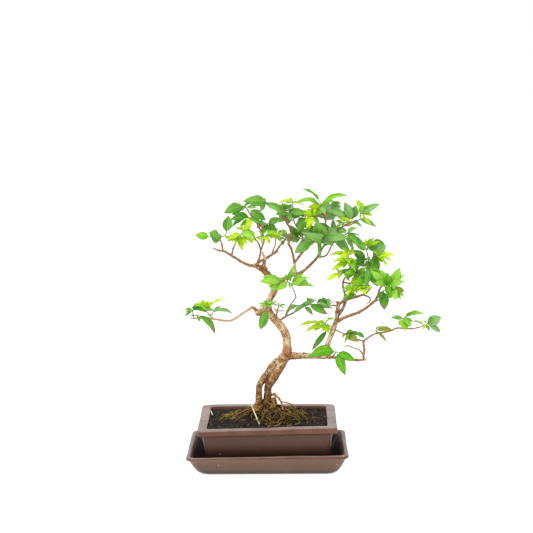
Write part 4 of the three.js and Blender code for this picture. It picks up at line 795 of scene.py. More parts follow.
def points_of(mesh, what="co"):
    """The mesh's points, or what else it keeps for each of them, as one array."""
    values = np.zeros(len(mesh.vertices) * 3, np.float32)
    mesh.vertices.foreach_get(what, values)
    return values.reshape(-1, 3).astype(float)


limbs = Surface()
samples = []
for index, name in enumerate(THICK):
    rows = np.column_stack(routes[name])
    limbs.tube(rows, RING_STEPS, TRUNK_SIDES)
    dense = smooth_route(rows, SAMPLE_STEPS)
    along = travelled(dense[:, :3]) + GRAIN_OFFSET * index
    heading = unit(np.gradient(dense[:, :3], axis=0))
    samples.append(np.column_stack([dense, along, heading]))
samples = np.concatenate(samples)
trunk_mesh = melted(limbs, TRUNK_VOXEL, SMOOTH_ROUNDS)


def straightened(points):
    """For each point, its place in straight-grained space: across the limb, round it and along it."""
    found = []
    for part in np.array_split(points, max(len(points) // 4000, 1)):
        gap = np.linalg.norm(part[:, None] - samples[None, :, :3], axis=2) - samples[None, :, 3]
        found.append(gap.argmin(axis=1))
    nearest = samples[np.concatenate(found)]
    heading = nearest[:, 5:8]
    offset = points - nearest[:, :3]
    ahead_of = (offset * heading).sum(axis=1)
    across = unit(np.cross(heading, [0.2, 1.0, 0.1]))
    side = np.cross(heading, across)
    return np.column_stack([(offset * across).sum(axis=1), (offset * side).sum(axis=1),
                            nearest[:, 4] + ahead_of])


trunk_points = points_of(trunk_mesh) / MM
trunk_out = points_of(trunk_mesh, "normal")
grain = straightened(trunk_points)


def patch(points, centre, size):
    """1 at the centre of a round patch, falling smoothly to 0 at its edge."""
    gap = np.linalg.norm((points - np.asarray(centre)) / size, axis=1)
    return np.clip(1 - gap, 0, 1) ** 0.6


def near_line(points, start, end, width):
    """1 on the straight line from start to end, falling to 0 at this distance from it."""
    start, end = np.asarray(start, float), np.asarray(end, float)
    share = np.clip((points - start) @ (end - start) / ((end - start) @ (end - start)), 0, 1)
    gap = np.linalg.norm(points - start - share[:, None] * (end - start), axis=1)
    return np.clip(1 - gap / width, 0, 1)


# %% Bark relief
RING_SPACING = 4.2
# The direction towards the window: the bark is painted lighter on the side facing it and darker away from it.
PAINTED_LIGHT_DIRECTION = unit(np.array([-0.35, -0.8, 0.5]))
height = trunk_points[:, 2]
ragged = 1.4 * soft_noise(grain * [0.5, 0.5, 1], 4, 11)
ridge = np.abs(((grain[:, 2] + ragged) / RING_SPACING) % 1 - 0.5) * 2
ring_part = np.clip(soft_noise(grain * [1, 1, 0.6], 9, 12) + 0.5, 0, 1)
ring_mark = np.clip(1 - (1 - ridge) / 0.25, 0, 1) * ring_part
streak = soft_noise(grain * [1, 1, 0.22], 1.6, 13)
lump = soft_noise(trunk_points, 11, 14)
knot = soft_noise(trunk_points, 5, 15)
low_down = np.clip((106 - height) / 22, 0, 1)
arm_patch = patch(trunk_points, (-7, -4, 284), 24)
old = np.maximum(np.clip((166 - height) / 55, 0, 1), arm_patch)
furrow = np.clip(1 - np.abs(soft_noise(grain * [1, 1, 0.28], 4.2, 18)) / 0.2, 0, 1) * old
RING_HEIGHT, STREAK_HEIGHT, LUMP_HEIGHT, KNOT_HEIGHT, FURROW_DEPTH = 0.34, 0.16, 0.5, 0.4, 0.75
relief = (RING_HEIGHT * ring_mark * (1 - old) + STREAK_HEIGHT * streak + LUMP_HEIGHT * lump
          + KNOT_HEIGHT * knot - FURROW_DEPTH * furrow)
relief += low_down * (1.7 * soft_noise(trunk_points, 4.5, 16) + 1.0 * soft_noise(trunk_points, 2.2, 19))
relief += arm_patch * 1.9 * soft_noise(grain * [1, 1, 0.7], 3.6, 20)

SCARS = [((28, -9, 162.5), 9), ((-11, -2, 224), 7), ((12, -8, 199), 5)]
scar = np.max([patch(trunk_points, centre, size) for centre, size in SCARS], axis=0)
relief += scar * 0.7 * soft_noise(trunk_points, 2.2, 17) - np.clip(scar - 0.6, 0, 1) * 2.4
relief -= near_line(trunk_points, (-6.5, -3, 119), (4, -6, 136), 2.6) * 2.2
skin = trunk_points + trunk_out * relief[:, None]
trunk_mesh.vertices.foreach_set("co", (skin * MM).astype(np.float32).ravel())
trunk_mesh.update()

pale = np.maximum(patch(trunk_points, (25.5, -6, 177), 9), patch(trunk_points, (19.5, -8, 147), 7) * 0.9)
second_top = np.clip((trunk_points[:, 0] - 74) / 8, 0, 1) * np.clip((height - 186) / 26, 0, 1)
pale = np.maximum(pale, np.clip((trunk_points[:, 0] - 32) / 24, 0, 1) * 0.7) * (1 - second_top * 0.8)
on_arm = np.clip((trunk_points[:, 0] - 30) / 6, 0, 1) * (height < 172)
RUST_PATCHES = [((27, -7, 171), 10, 1), ((27, -6, 192), 9, 0.9), ((-6, -4, 224), 9, 0.7),
                ((8, -6, 86), 17, 1)]
rust_and_painted_shade = [patch(trunk_points, centre, size) * strength for centre, size, strength in RUST_PATCHES]
# Besides scars and red-brown patches, the downward faces of the low arm get painted shade here.
rust_and_painted_shade = np.max([scar * 1.2, *rust_and_painted_shade, np.clip(-trunk_out[:, 2], 0, 1) * on_arm], axis=0)
# The dents of the relief are kept for painted shade, with some darker bark over the old arm.
stored_values = {"ring": ring_mark, "rust_and_painted_shade": rust_and_painted_shade, "pale": pale, "old": np.maximum(old, second_top * 0.45),
                 "hollow_shade_and_arm_tone": np.clip(-relief * 0.9, 0, 1) * 0.8 + arm_patch * 0.3,
                 "painted_lit_side": np.clip(trunk_out @ PAINTED_LIGHT_DIRECTION, 0, 1), "damp": low_down}
for name, values in stored_values.items():
    trunk_mesh.attributes.new(name, "FLOAT", "POINT").data.foreach_set("value", values.astype(np.float32))
trunk_mesh.attributes.new("grain", "FLOAT_VECTOR", "POINT").data.foreach_set("vector", (grain * MM).ravel())
trunk_mesh.polygons.foreach_set("use_smooth", np.ones(len(trunk_mesh.polygons), bool))

# %% [markdown]
# ### Bark
# Young syzygium bark is thin and warm tan. It flakes off in plates that leave cream skin. As painted light and
# shade, the side towards the window is paler, the side away from it a darker orange-brown, and the dents of
# the relief and the underside of the low arm are darker. The scars of old leaves make rings round it, cuts
# heal over in red-brown, and low down the skin is furrowed and darker. These places come as values stored on
# the points, and noise in the straight-grained space breaks them up.

# %% Bark finish
bark = Finish("bark", Specular_IOR_Level=0.2)
straight = bark.own("grain", "Vector")
fibre = bark.noise(1.0, bark.stretched(straight, (1, 1, 0.22)), detail=4)
flakes = bark.noise(6.5, bark.stretched(straight, (1, 1, 0.6)), detail=6, rough=0.66, twist=0.5)
blotches = bark.noise(6, bark.stretched(straight, (1, 1, 0.7)), detail=6, rough=0.7)
bands = bark.noise(3.2, bark.stretched(straight, (0.22, 0.22, 1)), detail=3)
inner_skin = bark.mix(fibre.between(0.36, 0.64), (142, 96, 50), (196, 154, 104))
outer_skin = bark.mix(fibre.between(0.34, 0.66), (178, 148, 108), (228, 210, 176))
crack = 1 - bark.cells(5.5, bark.stretched(straight, (1, 1, 0.36)), "DISTANCE_TO_EDGE").between(0.0, 0.09)
crack = crack * (bark.own("old") * 0.9 + 0.12) * (blotches + 0.25).between(0.6, 0.9)
# Cream skin where plates flake off, and more of it as painted light on the side towards the window.
flaking_and_painted_light = flakes + bark.own("painted_lit_side") * 0.2 + bark.own("pale") * 0.16
flaking_and_painted_light = flaking_and_painted_light + (bands - 0.5) * 0.6 - bark.own("old") * 0.16
bark.color = bark.mix(flaking_and_painted_light.between(0.57, 0.66), inner_skin, outer_skin)
# Painted shade: the side away from the window is laid over with a darker orange-brown.
bark.lay((0.75 - bark.own("painted_lit_side")).between(0.1, 0.75) * 0.55, (132, 84, 48))
bark.lay(bark.own("ring") * bands.between(0.35, 0.6) * 0.65, (112, 72, 42))
bark.lay(bark.own("old") * 0.5, bark.mix(flakes.between(0.38, 0.6), (124, 88, 40), (206, 164, 102)))
dark_patch = (blotches + bark.own("old") * 0.1 + (0.5 - bands) * 0.3).between(0.56, 0.62)
bark.lay(dark_patch * 0.8, bark.mix(fibre, (80, 50, 28), (128, 88, 52)))
# Red-brown of healed cuts and patches, and painted shade under the low arm.
reddish = (bark.own("rust_and_painted_shade") * (0.5 + flakes)).between(0.3, 0.9)
bark.lay(reddish * 0.85, bark.mix(fibre.between(0.35, 0.65), (116, 64, 28), (206, 142, 82)))
mossy = (bark.own("damp") * (0.3 + blotches)).between(0.3, 0.9)
bark.lay(mossy * 0.65, bark.mix(blotches.between(0.4, 0.56), (100, 70, 28), (192, 148, 72)))
bark.lay(crack * 0.8, (64, 38, 20))
# Painted shade in the dents of the relief, and darker bark on the old arm.
bark.lay(bark.own("hollow_shade_and_arm_tone") * 0.7, (60, 38, 20))
bark.wear(Base_Color=bark.color, Roughness=0.72 + fibre * 0.2,
          Normal=bark.bump(fibre * 0.6 + bands * 0.4 - crack, 0.5, bark.bump(flakes + blotches, 0.9)))
piece("trunk", trunk_mesh, [bark], "bark", "wood")

# %% [markdown]
# ### Twigs
# Twigs are tubes with a slight swelling at each bend, where a leaf pair once sat. Thin ones are reddish,
# because their bark is a season old. Their age is stored on the points and the finish reads it.

# %% Twigs
TWIG_SIDES = 8


def twig_grid(points, radii, sides, seed):
    """A tube whose radius swells by a fifth at each row of its route and wavers a little between them."""
    fine = smooth_route(np.column_stack([points, radii]), RING_STEPS)
    past_row = np.arange(len(fine)) % RING_STEPS
    swell = 1 + 0.2 * np.exp(-(np.minimum(past_row, RING_STEPS - past_row) / 0.8) ** 2)
    swell[0] = swell[-1] = 1
    waver = 0.35 * soft_noise(fine[:, :3], 6, seed)[:, None] * [0.6, 1, 0.6] * (fine[:, 3:] > 0.9)
    middle = fine[:, :3] + waver
    knobs = 1 + 0.1 * soft_noise(fine[:, :3], 3, seed + 1)
    return tube_grid(middle, fine[:, 3] * swell * knobs, sides), fine[:, 3]


twigs = Surface(stored=("age",))
thin = [route for name, route in routes.items() if name not in THICK]
for number, (points, radii) in enumerate(thin):
    grid, wide = twig_grid(points, radii, TWIG_SIDES, 20 + number)
    twigs.rings(grid, age=np.clip((wide - 0.8) / 1.6, 0, 1)[:, None])

twig_bark = Finish("twig_bark", Specular_IOR_Level=0.25)
age = twig_bark.own("age")
cloud = twig_bark.noise(4, detail=4)
speck = twig_bark.noise(1.2, detail=4, rough=0.7)
painted_lit_top = twig_bark.upward().between(-0.5, 0.7)
aged_twig = twig_bark.mix(cloud.between(0.35, 0.65), (142, 98, 60), (192, 152, 110))
young = twig_bark.mix(cloud.between(0.35, 0.65), (150, 98, 68), (196, 148, 118))
twig_bark.color = twig_bark.mix(age.between(0.1, 0.7), young, aged_twig)
# Painted shade: the undersides of the twigs are laid over with a darker brown.
twig_bark.lay((1 - painted_lit_top) * 0.6, (118, 72, 42))
twig_bark.lay(speck.between(0.56, 0.68) * 0.6, (96, 60, 38))
twig_bark.lay((1 - speck).between(0.56, 0.68) * 0.5, (216, 190, 158))
x, _, z = twig_bark.parts(twig_bark.place())
low_left = (1 - x.between(-28 * MM, -16 * MM)) * (1 - z.between(240 * MM, 250 * MM))
twig_bark.lay(low_left * 0.55, (224, 188, 150))
twig_bark.wear(Base_Color=twig_bark.color, Roughness=0.62 + cloud * 0.2, Normal=twig_bark.bump(speck, 0.3))
piece("twigs", twigs.mesh("twigs"), [twig_bark], "bark", "wood")

# %% [markdown]
# ## Leafy shoots
# A shoot is a thin green stem with opposite, leathery, pointed leaves. A leaf that would touch a neighbour
# takes the next depth that is clear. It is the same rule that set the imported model's blades, with the same
# seed, so each fine leaf lies where its coarse one does.

# %% Rules of the leaves
GAP = 0.3
FOOT_ROOM = 0.1
LEAF_WIDTH = 0.4
LEAF_FOLD = 0.2
STALK_RADIUS = 0.55
STEM_RADIUS = 0.8
STEM_TAPER = 0.25
SAMPLE_STEP = 2.6
NEAREST_BLADES = 2.3
DEPTH_TRIES = [0, 5, -5, 10, -10, 15, -15, 20, -20, 26, -26]
FACE_TRIES = [0, -0.25, 0.2]
RULE_TRIES = 14
UP = np.array([0.0, 0.0, 1.0])
TO_VIEWER = np.array([0.0, -1.0, 0.0])


def random_source(seed):
    """A small seeded source: state = state * 1664525 + 1013904223, of which 32 bits are kept."""
    state = seed
    while True:
        state = (state * 1664525 + 1013904223) & 0xFFFFFFFF
        yield state / 4294967296


draws = random_source(1907)


class Leaf:
    """One leaf's base, axes and form. The face turns its upper side from up (0) to the viewer (1)."""

    def __init__(self, base, tip, face, arch, wide, stalk):
        self.base, self.arch, self.wide, self.stalk = base, arch, wide, stalk
        along = tip - base
        self.length = math.sqrt(along @ along)
        self.along = along / self.length
        outer = UP * (1 - face) + TO_VIEWER * face
        outer = outer - self.along * (outer @ self.along)
        self.outer = outer / math.sqrt(outer @ outer)
        self.across = np.cross(self.along, self.outer)

    def half(self, share):
        """Half the width: 3.42 s^0.72 (1 - s)^1.12 of half the blade's, never thinner than its stalk."""
        blade = np.clip((share - self.stalk) / (1 - self.stalk), 0, 1)
        outline = 3.42 * blade**0.72 * (1 - blade) ** 1.12
        least = np.where(share < 1, STALK_RADIUS, 0)
        return np.maximum(outline * self.wide * LEAF_WIDTH * self.length * 0.5, least)

    def points(self, share, sideways, lift=0.0, pull=1.0):
        """Points of the blade: arched along its midrib, with both halves folded up from it."""
        half = self.half(share)
        height = 4 * self.arch * self.length * share * (1 - share)
        height = height + LEAF_FOLD * np.abs(sideways) * half + lift
        return (self.base + (share * self.length)[..., None] * self.along
                + (sideways * half * pull)[..., None] * self.across + height[..., None] * self.outer)


class Taken:
    """Balls of room that is already taken, each with its owner."""

    def __init__(self):
        self.at, self.radius = np.zeros((0, 3)), np.zeros(0)
        self.near, self.owner = np.zeros(0, bool), np.zeros(0, int)
        self.names = {}

    def add(self, owner, at, radius, near):
        number = self.names.setdefault(owner, len(self.names))
        self.at = np.concatenate([self.at, at])
        self.radius = np.concatenate([self.radius, np.broadcast_to(radius, len(at))])
        self.near = np.concatenate([self.near, np.broadcast_to(near, len(at))])
        self.owner = np.concatenate([self.owner, np.full(len(at), number)])

    def route(self, owner, points, radii):
        for k in range(len(points) - 1):
            steps = math.ceil(np.linalg.norm(points[k + 1] - points[k]) / SAMPLE_STEP)
            share = (np.arange(steps) / steps)[:, None]
            ball = radii[k] + (radii[k + 1] - radii[k]) * share[:, 0]
            self.add(owner, points[k] * (1 - share) + points[k + 1] * share, ball, False)

    def room(self, at, near, owner):
        """The least room between these points and what is there, but for the foot of the leaf's own shoot."""
        centre = at.mean(axis=0)
        reach = np.linalg.norm(at - centre, axis=1).max() + 14
        close = np.linalg.norm(self.at - centre, axis=1) < reach
        gaps = np.linalg.norm(self.at[close][:, None] - at[None], axis=2) - self.radius[close][:, None]
        own = self.owner[close] == self.names.get(owner, -1)
        skipped = own[:, None] & (near[None, :] | self.near[close][:, None])
        gaps[skipped] = np.inf
        return gaps.min() if gaps.size else np.inf


taken = Taken()
for points, radii in routes.values():
    taken.route("wood", points, radii)


def leaf_samples(leaf):
    """Points over a leaf, five across, and whether each is near its foot."""
    rows = math.ceil(leaf.length / SAMPLE_STEP)
    share, sideways = np.meshgrid(np.arange(1, rows + 1) / rows, [-1, -0.5, 0, 0.5, 1], indexing="ij")
    return leaf.points(share, sideways).reshape(-1, 3), (share < 0.35).reshape(-1)


def clear_leaf(owner, base, x, z, depth, face, arch, wide=1, stalk=0.1):
    """The first of a leaf's possible places that is clear of its neighbours, or else the clearest."""
    best = None
    for turn in FACE_TRIES:
        for shift in DEPTH_TRIES:
            tip = seen((x, z, depth + shift))[0]
            leaf = Leaf(base, tip, min(max(face + turn, 0), 1), arch, wide, stalk)
            at, near = leaf_samples(leaf)
            room = taken.room(at, near, owner)
            if best is None or room > best[0]:
                best = (room, leaf, at, near)
            if room >= NEAREST_BLADES:
                return best
    return best


def point_on(points, at):
    """The point at a place along the route: 1.5 is half way from its second point to its third."""
    k = min(math.floor(at), len(points) - 2)
    return points[k] + (points[k + 1] - points[k]) * (at - k)


def rule_leaf(owner, points, tone):
    """A leaf that reaches back or forward, where the front view shows none."""
    base = point_on(points, 0.3 + next(draws) * (len(points) - 1.3))
    side = 1 if next(draws) < 0.6 else -1
    heading = side * (0.5 + (next(draws) - 0.5) * 0.55) * math.pi
    rise = (next(draws) - 0.65) * 0.7
    length = (24 if tone == "mature" else 16) + next(draws) * 8
    reach = np.array([math.cos(rise) * math.cos(heading), math.cos(rise) * math.sin(heading), math.sin(rise)])
    leaf = Leaf(base, base + reach * length, 0.2 + next(draws) * 0.4, 0.1, 1, 0.1)
    at, near = leaf_samples(leaf)
    return taken.room(at, near, owner), leaf, at, near


def shoot_start(twig, place, towards):
    """Where a shoot leaves its twig, and in which direction: at the twig's end, or at a place along it."""
    points, radii = routes[twig]
    if place == "end":
        ahead_of = unit(points[-1] - points[-2])
        return points[-1] + ahead_of * GAP, ahead_of
    k = min(math.floor(float(place)), len(points) - 2)
    foot = point_on(points, float(place))
    axis = unit(points[k + 1] - points[k])
    away = towards - foot
    away = unit(away - axis * (away @ axis))
    return foot + away * (radii[k] + GAP + FOOT_ROOM), away


def add_leaf(leaves, name, found, words):
    """Keeps a leaf with the words of its row, and takes its room."""
    _, leaf, places, near = found
    leaf.words = words
    leaves.append(leaf)
    taken.add(name, places, 0, near)


def grow(heading, stem, rows):
    """The stem's route and the leaves of one shoot, those that the front view shows and then the rule's."""
    name, twig, place, tone, more, *rule_words = heading.split()
    route = seen(numbers_of(stem))
    start, ahead_of = shoot_start(twig, place, route[0])
    first = start + ahead_of * np.linalg.norm(route[0] - start)
    points = np.concatenate([[start, first], route[1:]])
    radii = STEM_RADIUS - STEM_TAPER * np.arange(len(points)) / (len(points) - 1)
    taken.route(name, points, radii)
    leaves = []
    for (at, *row), words in rows_of(rows):
        add_leaf(leaves, name, clear_leaf(name, point_on(points, at), *row), words)
    for _ in range(int(more)):
        for _ in range(RULE_TRIES):
            found = rule_leaf(name, points, tone)
            if found[0] >= NEAREST_BLADES:
                add_leaf(leaves, name, found, rule_words)
                break
    routes[name] = (points, radii)
    return name, tone, points, radii, leaves


# %% [markdown]
# An entry of the next table has four parts. The first one names the shoot, its twig, the place on it, the
# kind of leaf, and how many leaves the rule adds. The second part is the stem's rows: x, z, depth. The third
# part is the leaves' rows: the place along the stem, the tip's x, z and depth, how far the face turns to the
# viewer, the arch, the width and, where it is long, the stalk's share. The last part holds lesser leaves: the
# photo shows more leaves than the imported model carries, and these fill the shoots up once all others are set.
#
# Words after a leaf's numbers say how it differs from its kind: `x1.3` is 1.3 times as wide as the rule makes
# it, `tip` is a brown tip, and any other word is a look.

